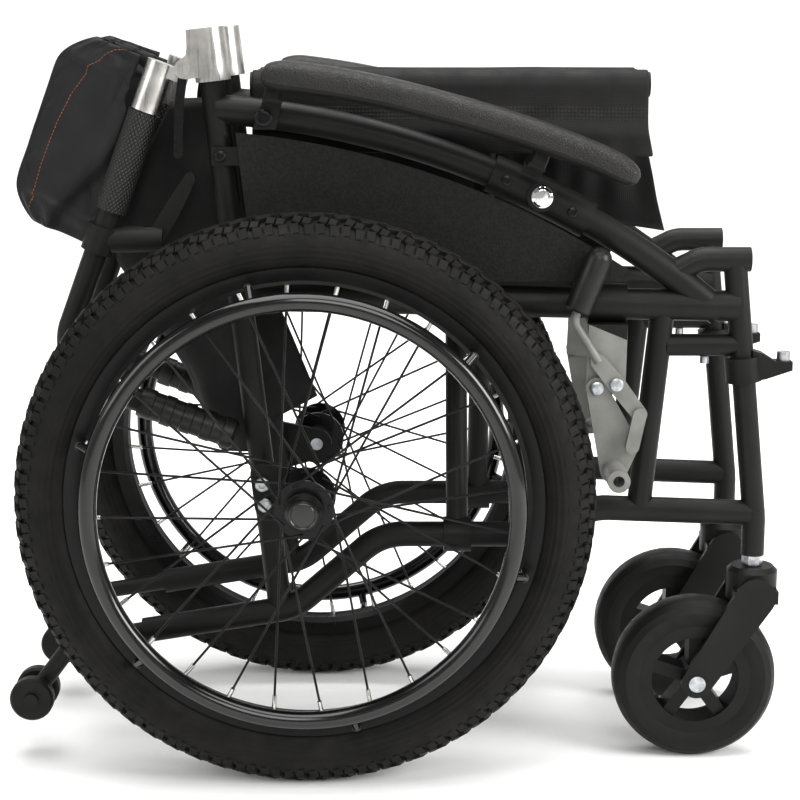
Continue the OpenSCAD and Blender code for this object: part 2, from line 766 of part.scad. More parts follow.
module antitip_wheels() {
    color([0.09, 0.09, 0.09]) for (y = [22, -8.6]) across(antitip_p, y) difference() {
        union() {
            translate([0, 0, 2]) cylinder(r = antitip_r, h = 9.4);
            cylinder(r1 = antitip_r - 2, r2 = antitip_r, h = 2);
            translate([0, 0, 11.4]) cylinder(r1 = antitip_r, r2 = antitip_r - 2, h = 2);
        }
        translate([0, 0, -5]) cylinder(r = 4 + run_gap, h = 30);
    }
}

// Back upholstery leaves, drawn across a cane: a is the distance from the fold line

module leaf(a_first, a_last, a_long) {
    n = 16;
    m = 9;
    loft([for (i = [0 : n]) let (
        t = i / n,
        s = leaf_lo + (leaf_hi - leaf_lo) * t,
        e = min(t, 1 - t),
        round_in = a_long ? 26 * pow(max(0, 1 - e * 6), 2) : 10 * pow(max(0, 1 - e * 6), 2),
        end = a_last - (a_long ? round_in : 0),
        start = a_first + (a_long ? (s < 46 ? 4.5 : 0) : round_in)
    ) [for (j = [0 : 2 * m - 1]) let (
        k = j < m ? j / (m - 1) : (2 * m - 1 - j) / (m - 1),
        a = start + (end - start) * k,
        crown = 0.16 + 0.84 * pow(max(0, 4 * k * (1 - k)), 0.7),
        stitch = 1 - 0.3 * exp(-pow((s - 92) / 7, 2)),
        h = (0.3 + 0.7 * pow(max(0, 1 - pow(1 - min(1, e * 7), 2)), 0.5)) * crown * stitch * leaf_t / 2
    ) [(j < m ? 1 : -1) * h, a, s]]]);
}

module leaf_outer() {
    color([0.2, 0.2, 0.22]) folded() rotate([0, 0, -leaf_a]) leaf(14.5, leaf_w - 3.2, true);
}

module leaf_inner() {
    color([0.2, 0.2, 0.22]) folded()
        translate([leaf_w * sin(leaf_a), leaf_y, 0]) rotate([0, 0, leaf_a]) leaf(3.2, leaf_w - 3.2, false);
}

// Cross brace and seat sling

module brace(x) {
    lower = [x, -frame_y, low_z];
    u = [0, cos(brace_a0), sin(brace_a0)];
    side = [0, -sin(brace_a0), cos(brace_a0)];
    knee = lower + (brace_lo + brace_knee * brace_up) * u;
    rail = lower + (brace_lo + brace_up) * u + rail_off * side;
    difference() {
        union() {
            rod(lower, knee + 6 * u, brace_r);
            translate([x - 12.5, -frame_y, low_z]) rotate([0, 90, 0]) cylinder(r = low_r + 4.5, h = 25);
            rod(knee, rail, 9);
            translate([rail_x, rail[1], rail[2]]) rotate([0, 90, 0]) cylinder(r = rail_r, h = rail_len);
        }
        translate([x - 40, -frame_y, low_z]) rotate([0, 90, 0])
            cylinder(r = low_r + run_gap, h = 80);
    }
}

module brace_a() {
    color([0.11, 0.11, 0.12]) {
        brace(brace_x);
        translate([brace_x, 0, bolt_z]) rotate([0, 90, 0])
            cylinder(r = pivot_bolt_r, h = brace_step + brace_r + 6);
        translate([brace_x + brace_step + brace_r + 1, 0, bolt_z]) rotate([0, 90, 0])
            cylinder(r = 8.5, h = 6);
    }
}

module brace_b() {
    color([0.11, 0.11, 0.12]) difference() {
        mirror([0, 1, 0]) brace(brace_x + brace_step);
        translate([brace_x, 0, bolt_z]) rotate([0, 90, 0])
            cylinder(r = pivot_bolt_r + run_gap, h = 80);
    }
}

function sling_y(k) = let (f = abs(2 * k - 1), y0 = rail_y - rail_r - 0.5)
    (k < 0.5 ? -1 : 1) * y0 * (0.10 * f + 0.9 * pow(f, 1.6));
function sling_z(k, x) = let (f = abs(2 * k - 1), low = 487 + 4 * cos(3 * x))
    low + (rail_z - low) * pow(f, 1.25);

module seat_sling() {
    n = 20;
    m = 15;
    color([0.13, 0.13, 0.14]) loft([for (i = [0 : n]) let (
        x = rail_x + 2 + (rail_len - 4) * i / n
    ) [for (j = [0 : 2 * m - 1]) let (
        inner = j >= m,
        k = inner ? (2 * m - 1 - j) / (m - 1) : j / (m - 1),
        f = abs(2 * k - 1),
        wave = 1.2 * sin(4.1 * x + 70 * k) * (1 - f) * f * 4
    ) [x, sling_y(k) * (inner ? 1 - 2.2 / (rail_y - rail_r) : 1) + wave,
        sling_z(k, x) + (inner ? 3 * (1 - f) : 0)]]]);
}

function skirt_h(i, t) = skirt_foot[i] + (skirt_top - skirt_foot[i]) * t;
// Across one half of the cloth: k = 0 at the post, 1 at the rear fold, 2 at the middle
function skirt_line(k, t) = k == 0
    ? [post_x(skirt_h(0, t)), skirt_edge_y, skirt_h(0, t)]
    : k == 1
        ? [skirt_rear_x(skirt_h(1, t)), skirt_fold_y, skirt_h(1, t)]
        : [skirt_mid_x(skirt_h(2, t)), 0, skirt_h(2, t)];
function skirt_p(k, t) = let (i = min(1, floor(k)), f = k - i)
    skirt_line(i, t) * (1 - f) + skirt_line(i + 1, t) * f;

module lower_back() {
    n = 14;
    m = 17;
    color([0.1, 0.1, 0.11]) loft([for (i = [0 : n]) [for (j = [0 : 2 * m - 1]) let (
        back = j >= m,
        k = 4 * (back ? 2 * m - 1 - j : j) / (m - 1),
        p = skirt_p(k <= 2 ? k : 4 - k, i / n)
    ) [p[0] + (back ? -skirt_t : 0), (k <= 2 ? -1 : 1) * p[1], p[2]]]]);
}

on_right() side_frame();  // right_side_frame
on_right() side_guard();  // right_side_guard
on_right() frame_fittings();  // right_frame_fittings
on_right() hardware();  // right_hardware
on_right() hub();  // right_hub
on_right() rim();  // right_rim
on_right() tyre();  // right_tyre
on_right() spokes();  // right_spokes
on_right() push_rim();  // right_push_rim
on_right() caster_fork();  // right_caster_fork
on_right() caster_core();  // right_caster_core
on_right() caster_tyre();  // right_caster_tyre
on_right() brake_plate();  // right_brake_plate
on_right() brake_lever();  // right_brake_lever
on_right() brake_grip();  // right_brake_grip
on_right() brake_arm();  // right_brake_arm
on_right() armrest_bracket();  // right_armrest_bracket
on_right() armrest_pad();  // right_armrest_pad
on_right() latch_button();  // right_latch_button
on_right() back_socket();  // right_back_socket
on_right() cane();  // right_cane
on_right() cane_hinge();  // right_cane_hinge
on_right() push_grip();  // right_push_grip
on_right() clamp_lever();  // right_clamp_lever
on_right() antitip_arm();  // right_antitip_arm
on_right() antitip_wheels();  // right_antitip_wheels
on_right() leaf_outer();  // right_leaf_outer
on_right() leaf_inner();  // right_leaf_inner
on_left() side_frame();  // left_side_frame
on_left() side_guard();  // left_side_guard
on_left() frame_fittings();  // left_frame_fittings
on_left() hardware();  // left_hardware
on_left() hub();  // left_hub
on_left() rim();  // left_rim
on_left() tyre();  // left_tyre
on_left() spokes();  // left_spokes
on_left() push_rim();  // left_push_rim
on_left() caster_fork();  // left_caster_fork
on_left() caster_core();  // left_caster_core
on_left() caster_tyre();  // left_caster_tyre
on_left() brake_plate();  // left_brake_plate
on_left() brake_lever();  // left_brake_lever
on_left() brake_grip();  // left_brake_grip
on_left() brake_arm();  // left_brake_arm
on_left() armrest_bracket();  // left_armrest_bracket
on_left() armrest_pad();  // left_armrest_pad
on_left() latch_button();  // left_latch_button
on_left() back_socket();  // left_back_socket
on_left() cane();  // left_cane
on_left() cane_hinge();  // left_cane_hinge
on_left() push_grip();  // left_push_grip
on_left() clamp_lever();  // left_clamp_lever
on_left() antitip_arm();  // left_antitip_arm
on_left() antitip_wheels();  // left_antitip_wheels
on_left() leaf_outer();  // left_leaf_outer
on_left() leaf_inner();  // left_leaf_inner
on_middle() brace_a();
on_middle() brace_b();
on_middle() seat_sling();
on_middle() lower_back();
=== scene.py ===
# %% [markdown]
# # A folded all-terrain wheelchair
# The chair stands folded: its side frames are drawn together, the seat cloth hangs between
# the rails and the padded back lies folded behind the posts.
# The solids come from the CAD model as a fixed frame. This lesson gives them their finishes
# and makes the parts that a solid can't show: tread, cloth, padding, stitching and braid.

# %% The frame
import json
import math

import bmesh
import bpy
import numpy as np
from mathutils import Matrix, Vector, noise


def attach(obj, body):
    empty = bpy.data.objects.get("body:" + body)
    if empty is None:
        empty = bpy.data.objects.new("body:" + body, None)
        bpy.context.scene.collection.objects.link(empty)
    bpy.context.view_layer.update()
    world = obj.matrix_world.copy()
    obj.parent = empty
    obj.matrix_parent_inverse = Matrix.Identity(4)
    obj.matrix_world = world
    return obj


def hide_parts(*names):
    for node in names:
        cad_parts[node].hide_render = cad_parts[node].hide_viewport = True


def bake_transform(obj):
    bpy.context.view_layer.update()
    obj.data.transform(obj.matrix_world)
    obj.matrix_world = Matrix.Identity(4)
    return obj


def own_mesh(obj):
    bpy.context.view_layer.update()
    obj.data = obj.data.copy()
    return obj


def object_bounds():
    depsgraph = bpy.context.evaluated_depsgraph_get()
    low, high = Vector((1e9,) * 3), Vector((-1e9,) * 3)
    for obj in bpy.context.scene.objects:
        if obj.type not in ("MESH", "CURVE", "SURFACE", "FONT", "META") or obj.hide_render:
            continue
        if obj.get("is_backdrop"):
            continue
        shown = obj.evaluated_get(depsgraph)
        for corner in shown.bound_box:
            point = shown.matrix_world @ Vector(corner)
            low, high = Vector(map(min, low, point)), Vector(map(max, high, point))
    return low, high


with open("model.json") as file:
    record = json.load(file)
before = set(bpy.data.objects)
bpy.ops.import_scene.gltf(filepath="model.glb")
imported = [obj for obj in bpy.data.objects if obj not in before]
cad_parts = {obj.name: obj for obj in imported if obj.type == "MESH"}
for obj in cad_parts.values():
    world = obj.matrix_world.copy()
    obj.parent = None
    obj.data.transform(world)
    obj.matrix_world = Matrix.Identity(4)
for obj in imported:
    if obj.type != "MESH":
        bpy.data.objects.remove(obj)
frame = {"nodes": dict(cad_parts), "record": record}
cad_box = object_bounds()
nodes = frame["nodes"]
bodies = frame["record"]["behaviour"]["bodies"]
body_of = {node: body for body, members in bodies.items() for node in members}
SIDES = ("right", "left")

# %% [markdown]
# Lengths were measured in millimetres from the rear axle and from the middle plane of a side
# frame, with outwards negative. One function turns such a place into the frame's metres, and
# another turns a point of the frame back. The left side is the right side mirrored.

# %% Places
MM = 1000
AXLE_X, AXLE_Z = -79.2, 255.0
FRAME_Y, WHEEL_OUT = 80.0, 67.0
rad = math.radians


def place(side, x, y, z):
    across = y - FRAME_Y if side == "right" else FRAME_Y - y
    return Vector((x + AXLE_X, across, z)) / MM


def measured(side, point):
    across = point.y * MM
    inward = across + FRAME_Y if side == "right" else FRAME_Y - across
    return Vector((point.x * MM - AXLE_X, inward, point.z * MM))


def hump(value, middle, half):
    """A smooth bell of height one, for folds, ridges and pressed lines."""
    return math.exp(-(((value - middle) / half) ** 2))


# %% [markdown]
# A piece that is made in code starts as rows of points. One function puts faces between the
# rows, and another turns points and faces into an object with its finishes, with doubled
# points merged and every face turned outwards.

# %% Pieces from rows of points


def add_object(name, data):
    made = bpy.data.objects.new(name, data)
    bpy.context.scene.collection.objects.link(made)
    return made


def new_piece(name, verts, faces, *materials):
    mesh = bpy.data.meshes.new(name)
    mesh.from_pydata([tuple(v) for v in verts], [], faces)
    shell = bmesh.new()
    shell.from_mesh(mesh)
    bmesh.ops.remove_doubles(shell, verts=shell.verts, dist=1e-6)
    bmesh.ops.recalc_face_normals(shell, faces=shell.faces)
    shell.to_mesh(mesh)
    shell.free()
    for material in materials:
        mesh.materials.append(material)
    mesh.shade_smooth()
    return add_object(name, mesh)


def skin(rows, closed_ring=True, capped=True):
    """Points and faces of rows that all have the same number of points."""
    count = len(rows[0])
    last = count if closed_ring else count - 1
    faces = []
    for i in range(len(rows) - 1):
        here, above = i * count, (i + 1) * count
        for j in range(last):
            k = (j + 1) % count
            faces.append((here + j, here + k, above + k, above + j))
    if closed_ring and capped:
        faces.append(tuple(range(count - 1, -1, -1)))
        start = (len(rows) - 1) * count
        faces.append(tuple(range(start, start + count)))
    return [p for row in rows for p in row], faces


def joined(shells):
    """Several skins as one list of points and one of faces."""
    verts, faces = [], []
    for points, walls in shells:
        faces += [tuple(i + len(verts) for i in wall) for wall in walls]
        verts += points
    return verts, faces


# %% [markdown]
# The chair is seen square to its right side through a long lens, from a little above the
# armrest. A long lens keeps the near and the far wheel nearly the same size.

# %% Camera
SENSOR, FOCAL = 36.0, 87.75
CAMERA_AT, CAMERA_DOWN = (0.0037, -1.805, 0.672), 11.1

lens = bpy.data.cameras.new("side_view")
lens.sensor_width = SENSOR
lens.lens = FOCAL
camera = add_object("side_view", lens)
camera.location = CAMERA_AT
camera.rotation_euler = (rad(90 - CAMERA_DOWN), 0, 0)
bpy.context.scene.camera = camera
print("camera:", CAMERA_AT, "m,", CAMERA_DOWN, "degrees down")

# %% [markdown]
# A finish is a small tree of nodes. Colours are written as sRGB hex values, because that is
# how they are read off a picture, and one function turns them into the linear values that
# the shader needs. Another adds one node with its settings, values and links.
# A texture's scale counts patterns in a metre, so it is worked out from a size in millimetres.

# %% Node helpers


def linear(hex_colour):
    parts = [int(hex_colour[i:i + 2], 16) / 255 for i in (1, 3, 5)]
    return (*(c / 12.92 if c <= 0.04045 else ((c + 0.055) / 1.055) ** 2.4 for c in parts), 1.0)


def per_metre(size_mm):
    return MM / size_mm


def add(tree, kind, settings=None, values=None, links=None):
    node = tree.nodes.new(kind)
    for name, value in (settings or {}).items():
        setattr(node, name, value)
    for name, value in (values or {}).items():
        node.inputs[name].default_value = value
    for name, source in (links or {}).items():
        tree.links.new(source, node.inputs[name])
    return node


def begin(name, rough, metal=0.0, **sockets):
    """A material, its tree, its shader and the coordinates that its patterns read."""
    material = bpy.data.materials.new(name)
    material.use_nodes = True
    tree = material.node_tree
    shader = tree.nodes["Principled BSDF"]
    shader.inputs["Roughness"].default_value = rough
    shader.inputs["Metallic"].default_value = metal
    for socket, value in sockets.items():
        shader.inputs[socket.replace("_", " ")].default_value = value
    return material, tree, shader, add(tree, "ShaderNodeTexCoord").outputs


def two_tones(tree, shader, factor, dark, light, spread):
    """Base colour that goes from dark to light while the factor crosses the spread."""
    ramp = add(tree, "ShaderNodeValToRGB", links={"Fac": factor})
    for element, position, colour in zip(ramp.color_ramp.elements, spread, (dark, light)):
        element.position = position
        element.color = linear(colour)
    tree.links.new(ramp.outputs["Color"], shader.inputs["Base Color"])


def mottle(tree, shader, source, dark, light, size_mm, spread=(0.35, 0.65)):
    """Colour that drifts between two tones over patches of a given size."""
    cloud = add(tree, "ShaderNodeTexNoise", values={"Scale": per_metre(size_mm), "Detail": 4.0},
                links={"Vector": source})
    two_tones(tree, shader, cloud.outputs["Fac"], dark, light, spread)


def vary_gloss(tree, shader, source, low, high, size_mm):
    """Roughness that drifts, as handling and cleaning leave it."""
    cloud = add(tree, "ShaderNodeTexNoise", values={"Scale": per_metre(size_mm), "Detail": 3.0},
                links={"Vector": source})
    scaled = add(tree, "ShaderNodeMapRange",
                 values={"From Min": 0.3, "From Max": 0.7, "To Min": low, "To Max": high},
                 links={"Value": cloud.outputs["Fac"]})
    tree.links.new(scaled.outputs["Result"], shader.inputs["Roughness"])


def relief(tree, shader, height, strength, depth_mm):
    """Fine unevenness that only tilts the light."""
    bump = add(tree, "ShaderNodeBump", values={"Strength": strength, "Distance": depth_mm / MM},
               links={"Height": height})
    tree.links.new(bump.outputs["Normal"], shader.inputs["Normal"])


# %% [markdown]
# Powder coat is plastic dust baked onto metal. It flows into a satin skin with a faint
# orange-peel ripple of a millimetre or two, which breaks up the long highlights on the tubes.
# The clothes guard is moulded plastic with a coarser grain, and small fittings are nylon.

# %% Coated tubes and moulded plastic
powder_coat, tree, shader, at = begin("powder_coated_steel", 0.46, Specular_IOR_Level=0.18)
mottle(tree, shader, at["Object"], "#0c0c0b", "#141413", size_mm=60)
vary_gloss(tree, shader, at["Object"], 0.40, 0.54, size_mm=25)
peel = add(tree, "ShaderNodeTexNoise", values={"Scale": per_metre(1.43), "Detail": 2.0},
           links={"Vector": at["Object"]})
relief(tree, shader, peel.outputs["Fac"], strength=0.18, depth_mm=0.25)

guard_plastic, tree, shader, at = begin("grained_abs", 0.62, Specular_IOR_Level=0.18)
mottle(tree, shader, at["Object"], "#0a0a09", "#161615", size_mm=2.4, spread=(0.4, 0.62))
grit = add(tree, "ShaderNodeTexVoronoi", values={"Scale": per_metre(1.613)},
           links={"Vector": at["Object"]})
relief(tree, shader, grit.outputs["Distance"], strength=0.55, depth_mm=0.35)

moulded_nylon, tree, shader, at = begin("glass_filled_nylon", 0.5, Specular_IOR_Level=0.18)
mottle(tree, shader, at["Object"], "#0b0b0a", "#131211", size_mm=30)
spark = add(tree, "ShaderNodeTexNoise", values={"Scale": per_metre(1.11), "Detail": 3.0},
            links={"Vector": at["Object"]})
relief(tree, shader, spark.outputs["Fac"], strength=0.25, depth_mm=0.25)

# %% [markdown]
# The rims and hand rims are black with a gloss that throws thin bright arcs. Spokes are
# blackened wire, and their nipples are bare nickel, which is why a row of bright dots
# follows the rim.

# %% Wheel metals
rim_black, tree, shader, at = begin("black_anodised_aluminium", 0.3, Specular_IOR_Level=0.2)
mottle(tree, shader, at["Object"], "#070707", "#0d0d0c", size_mm=80)
vary_gloss(tree, shader, at["Object"], 0.26, 0.4, size_mm=40)

hand_rim_black, tree, shader, at = begin("gloss_coated_tube", 0.14, Specular_IOR_Level=0.5)
mottle(tree, shader, at["Object"], "#070707", "#0e0e0d", size_mm=50)
vary_gloss(tree, shader, at["Object"], 0.1, 0.18, size_mm=30)

spoke_wire, tree, shader, at = begin("blackened_spoke_wire", 0.38, metal=0.6)
mottle(tree, shader, at["Object"], "#0c0c0c", "#181818", size_mm=20)

nickel, tree, shader, at = begin("nickel_plated_brass", 0.24, metal=1.0)
mottle(tree, shader, at["Object"], "#b9b7b1", "#dcdad4", size_mm=4)

# %% [markdown]
# Bare metals on the chair: cast hinge blocks of satin aluminium, drawn with fine lines from
# the polishing belt; zinc plate on bolts and nuts, slightly cloudy; chrome on the latch
# button; blackened steel on small screws; and a light grey paint on the pressed brake plates.

# %% Bright metals and paint
satin_aluminium, tree, shader, at = begin("satin_aluminium", 0.3, metal=1.0)
mottle(tree, shader, at["Object"], "#a9a6a2", "#c9c6c2", size_mm=18)
stretch = add(tree, "ShaderNodeMapping", values={"Scale": (1.0, 1.0, 0.05)},
              links={"Vector": at["Object"]})
belt = add(tree, "ShaderNodeTexNoise", values={"Scale": per_metre(0.667), "Detail": 2.0},
           links={"Vector": stretch.outputs["Vector"]})
relief(tree, shader, belt.outputs["Fac"], strength=0.12, depth_mm=0.15)
vary_gloss(tree, shader, stretch.outputs["Vector"], 0.24, 0.4, size_mm=3)

zinc, tree, shader, at = begin("zinc_plated_steel", 0.34, metal=1.0)
mottle(tree, shader, at["Object"], "#8f9296", "#bfc2c4", size_mm=5)
vary_gloss(tree, shader, at["Object"], 0.26, 0.44, size_mm=6)

chrome, tree, shader, at = begin("chromed_steel", 0.07, metal=1.0)
mottle(tree, shader, at["Object"], "#d6d6d6", "#efefee", size_mm=12)
vary_gloss(tree, shader, at["Object"], 0.05, 0.11, size_mm=8)

brake_paint, tree, shader, at = begin("grey_painted_steel", 0.42)
mottle(tree, shader, at["Object"], "#63635e", "#767671", size_mm=25)
vary_gloss(tree, shader, at["Object"], 0.36, 0.5, size_mm=15)
drops = add(tree, "ShaderNodeTexNoise", values={"Scale": per_metre(1.25)},
            links={"Vector": at["Object"]})
relief(tree, shader, drops.outputs["Fac"], strength=0.12, depth_mm=0.2)

black_oxide, tree, shader, at = begin("blackened_screw_steel", 0.3, metal=0.7)
mottle(tree, shader, at["Object"], "#0d0d0e", "#1c1c1d", size_mm=4)

# %% [markdown]
# Rubber takes its look from its surface: a tyre sidewall is dull with a bloom of grey dust,
# a caster tyre is harder and smoother, and a grip is moulded smooth.

# %% Rubbers
tyre_rubber, tree, shader, at = begin("tyre_rubber", 0.62, Specular_IOR_Level=0.16)
mottle(tree, shader, at["Object"], "#090908", "#12110f", size_mm=30)
vary_gloss(tree, shader, at["Object"], 0.52, 0.74, size_mm=12)
skin_grain = add(tree, "ShaderNodeTexNoise", values={"Scale": per_metre(2), "Detail": 4.0},
                 links={"Vector": at["Object"]})
relief(tree, shader, skin_grain.outputs["Fac"], strength=0.2, depth_mm=0.3)

caster_rubber, tree, shader, at = begin("caster_polyurethane", 0.52, Specular_IOR_Level=0.2)
mottle(tree, shader, at["Object"], "#080807", "#0e0d0c", size_mm=22)
vary_gloss(tree, shader, at["Object"], 0.44, 0.62, size_mm=10)

grip_rubber, tree, shader, at = begin("moulded_rubber_grip", 0.4, Specular_IOR_Level=0.3)
mottle(tree, shader, at["Object"], "#0b0b0a", "#131211", size_mm=14)
vary_gloss(tree, shader, at["Object"], 0.34, 0.48, size_mm=9)

# %% [markdown]
# The armrest is foam with a skin of polyurethane, moulded with a leather grain. The grain is
# a net of fine creases: the distance to the nearest cell edge makes the creases, and cells
# 2.5 mm wide are drawn a little coarser than real ones so that they show.

# %% Armrest skin
WARP = 0.004

armrest_skin, tree, shader, at = begin("polyurethane_skin", 0.44, Specular_IOR_Level=0.36)
mottle(tree, shader, at["Object"], "#090807", "#110e0c", size_mm=18)
bend = add(tree, "ShaderNodeTexNoise", values={"Scale": per_metre(6.25), "Detail": 2.0},
           links={"Vector": at["Object"]})
warp = add(tree, "ShaderNodeVectorMath", settings={"operation": "MULTIPLY_ADD"},
           values={1: (WARP, WARP, WARP)}, links={0: bend.outputs["Color"], 2: at["Object"]})
cells = add(tree, "ShaderNodeTexVoronoi", settings={"feature": "DISTANCE_TO_EDGE"},
            values={"Scale": per_metre(2.5)}, links={"Vector": warp.outputs["Vector"]})
crease = add(tree, "ShaderNodeMapRange", values={"From Max": 0.18},
             links={"Value": cells.outputs["Distance"]})
relief(tree, shader, crease.outputs["Result"], strength=0.6, depth_mm=0.4)
vary_gloss(tree, shader, at["Object"], 0.34, 0.54, size_mm=7)

# %% [markdown]
# Cloth: the back is coated nylon, a fine plain weave under a soft sheen. The piece's own UV
# map runs along the threads in metres, so two crossed waves draw warp and weft wherever the
# cloth turns. The real threads are 0.4 mm apart; they are drawn at 1.2 mm to show.
# A wave texture of scale one has ten over pi waves in a metre, so the scale is divided by that.

# %% Cloth finishes
WAVE = math.pi / 10
PUCKER_SHARE = 2.5


def woven(name, dark, light, thread_mm, rough, sheen, strength):
    material, tree, shader, at = begin(name, rough, Sheen_Weight=sheen, Sheen_Roughness=0.4,
                                       Specular_IOR_Level=0.2)
    mottle(tree, shader, at["Object"], dark, light, size_mm=45)
    warp_wave, weft_wave = (
        add(tree, "ShaderNodeTexWave", settings={"bands_direction": direction},
            values={"Scale": per_metre(thread_mm) * WAVE, "Distortion": 0.4},
            links={"Vector": at["UV"]})
        for direction in ("X", "Y"))
    cross = add(tree, "ShaderNodeMath", settings={"operation": "MULTIPLY"},
                links={0: warp_wave.outputs["Fac"], 1: weft_wave.outputs["Fac"]})
    puckers = add(tree, "ShaderNodeTexNoise", values={"Scale": per_metre(18.2), "Detail": 3.0},
                  links={"Vector": at["Object"]})
    height = add(tree, "ShaderNodeMath", settings={"operation": "MULTIPLY_ADD"},
                 values={1: PUCKER_SHARE},
                 links={0: puckers.outputs["Fac"], 2: cross.outputs["Value"]})
    relief(tree, shader, height.outputs["Value"], strength, depth_mm=0.5)
    vary_gloss(tree, shader, at["Object"], rough - 0.06, rough + 0.08, size_mm=20)
    return material


back_nylon = woven("coated_nylon_cloth", "#0f0e0f", "#171618", thread_mm=1.2,
                   rough=0.5, sheen=0.03, strength=0.3)
seat_nylon = woven("black_nylon_seat_cloth", "#0d0c0c", "#151413", thread_mm=1.4,
                   rough=0.6, sheen=0.02, strength=0.3)
mesh_band = woven("knitted_spacer_mesh", "#0a0a0a", "#232221", thread_mm=3.2,
                  rough=0.75, sheen=0.02, strength=0.9)

thread_orange, tree, shader, at = begin("orange_polyester_thread", 0.55, Sheen_Weight=0.1)
mottle(tree, shader, at["Object"], "#6b3a18", "#a85c24", size_mm=1.5)

# %% [markdown]
# The sleeve over each cane is a braid of black plastic bristles. Its UV map runs round the
# cane and along it, so two waves at slanting angles cross as the strands do, about 3 mm
# apart. The crests are painted a lighter grey: a painted highlight for the small bright
# specks where they catch the light.

# %% Braided sleeve
STRAND_MM, STRAND_SLANT = 3.0, 35

braid, tree, shader, at = begin("braided_polyester_sleeve", 0.42, Specular_IOR_Level=0.3)
strands = []
for turn in (STRAND_SLANT, -STRAND_SLANT):
    slant = add(tree, "ShaderNodeMapping", values={"Rotation": (0, 0, rad(turn))},
                links={"Vector": at["UV"]})
    strands.append(add(tree, "ShaderNodeTexWave", settings={"bands_direction": "X"},
                       values={"Scale": per_metre(STRAND_MM) * WAVE},
                       links={"Vector": slant.outputs["Vector"]}))
weave_and_painted_highlight = add(tree, "ShaderNodeMath", settings={"operation": "MULTIPLY"},
            links={0: strands[0].outputs["Fac"], 1: strands[1].outputs["Fac"]})
# The lighter tone on the crests is a painted highlight; the same pattern also drives the bump.
two_tones(tree, shader, weave_and_painted_highlight.outputs["Value"], "#0b0b0b", "#3b3a38", spread=(0.25, 1.0))
relief(tree, shader, weave_and_painted_highlight.outputs["Value"], strength=0.8, depth_mm=0.8)
print("finishes:", len(bpy.data.materials))

# %% [markdown]
# The CAD solids that already have the right shape stay and only get their finish. Their
# meshes are loose triangles, so a weld and an edge split at 28 degrees let tubes shade
# smoothly while real corners stay crisp.

# %% Finishes on the solids
WELD, CORNER = 1e-5, rad(28)
FINISH = {
    "side_frame": powder_coat, "side_guard": guard_plastic, "frame_fittings": moulded_nylon,
    "hub": rim_black, "rim": rim_black, "push_rim": hand_rim_black,
    "caster_fork": powder_coat, "caster_core": moulded_nylon, "caster_tyre": caster_rubber,
    "brake_plate": brake_paint, "brake_lever": brake_paint, "brake_grip": grip_rubber,
    "brake_arm": brake_paint, "armrest_bracket": powder_coat, "latch_button": chrome,
    "back_socket": satin_aluminium, "cane_hinge": satin_aluminium, "push_grip": grip_rubber,
    "clamp_lever": moulded_nylon, "antitip_arm": powder_coat, "antitip_wheels": caster_rubber,
}
for name, solid in nodes.items():
    side, _, kind = name.partition("_")
    solid.data.materials.clear()
    solid.data.materials.append(FINISH.get(kind, powder_coat) if side in SIDES else powder_coat)
    if solid.data.has_custom_normals:
        solid.data.attributes.remove(solid.data.attributes["custom_normal"])
    solid.data.shade_smooth()
    weld = solid.modifiers.new("weld", "WELD")
    weld.merge_threshold = WELD
    split = solid.modifiers.new("split", "EDGE_SPLIT")
    split.split_angle = CORNER
print("finished solids:", len(nodes))

# %% [markdown]
# Some solids hold pieces of different stuff: the fasteners, the spokes with their nipples,
# the cane with its braided sleeve, the caster fork with its axle bolt, the brake plate with
# its clamp and the back socket with its release lever. A merged copy of such a solid takes a
# finish face by face, by where the face lies, and stands for the solid.

# %% Solids of two finishes


def split_finish(node, main, other, is_other, unwrap=None):
    side = node.split("_")[0]
    mesh = nodes[node].data.copy()
    mesh.materials.clear()
    for material in (main, other):
        mesh.materials.append(material)
    shell = bmesh.new()
    shell.from_mesh(mesh)
    bmesh.ops.remove_doubles(shell, verts=shell.verts, dist=WELD)
    if unwrap:
        layer = shell.loops.layers.uv.verify()
        for face in shell.faces:
            spots = unwrap([measured(side, v.co) for v in face.verts])
            for loop, uv in zip(face.loops, spots):
                loop[layer].uv = uv
    for face in shell.faces:
        face.material_index = int(is_other(measured(side, face.calc_center_median())))
        face.smooth = True
    shell.to_mesh(mesh)
    shell.free()
    mesh.set_sharp_from_angle(angle=CORNER)
    made = add_object(node + "_finish", mesh)
    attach(made, body_of[node])
    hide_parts(node)


# %% [markdown]
# Where each second finish lies is written as a rule on millimetres. The sleeve's UV map
# takes the angle round the cane times its radius, and a face that crosses the end of the
# turn is kept whole.

# %% Where the second finish lies
CANE_FOOT = (-124.12, 635.54)
CANE_DIR = (-0.3511, -0.9363)
CANE_BACK = (-0.9363, 0.3511)
SLEEVE_ALONG, SLEEVE_REACH, SLEEVE_R = (48.5, 139.5), (12.5, 15.0), 14.0
NIPPLES_FROM = 181.2
BLACK_SCREWS_FROM = 480.0
CASTER_X, CASTER_Z, CASTER_BOLT_R = 354.0, 75.0, 7.6
BRAKE_CLAMP_FROM = 400.0
LEVER_BELOW, LEVER_BEHIND = 617.0, -98.0


def along_cane(p):
    """Millimetres along the folded cane and behind it."""
    x, z = p.x - CANE_FOOT[0], p.z - CANE_FOOT[1]
    return x * CANE_DIR[0] + z * CANE_DIR[1], x * CANE_BACK[0] + z * CANE_BACK[1]


def is_nipple(p):
    return math.hypot(p.x, p.z - AXLE_Z) > NIPPLES_FROM


def is_sleeve(p):
    along, behind = along_cane(p)
    reach = math.hypot(behind, p.y)
    return SLEEVE_ALONG[0] < along < SLEEVE_ALONG[1] and SLEEVE_REACH[0] < reach < SLEEVE_REACH[1]


def is_black_screw(p):
    return p.z > BLACK_SCREWS_FROM


def is_caster_bolt(p):
    return math.hypot(p.x - CASTER_X, p.z - CASTER_Z) < CASTER_BOLT_R


def is_brake_clamp(p):
    return p.z > BRAKE_CLAMP_FROM


def is_release_lever(p):
    return p.z < LEVER_BELOW and p.x < LEVER_BEHIND


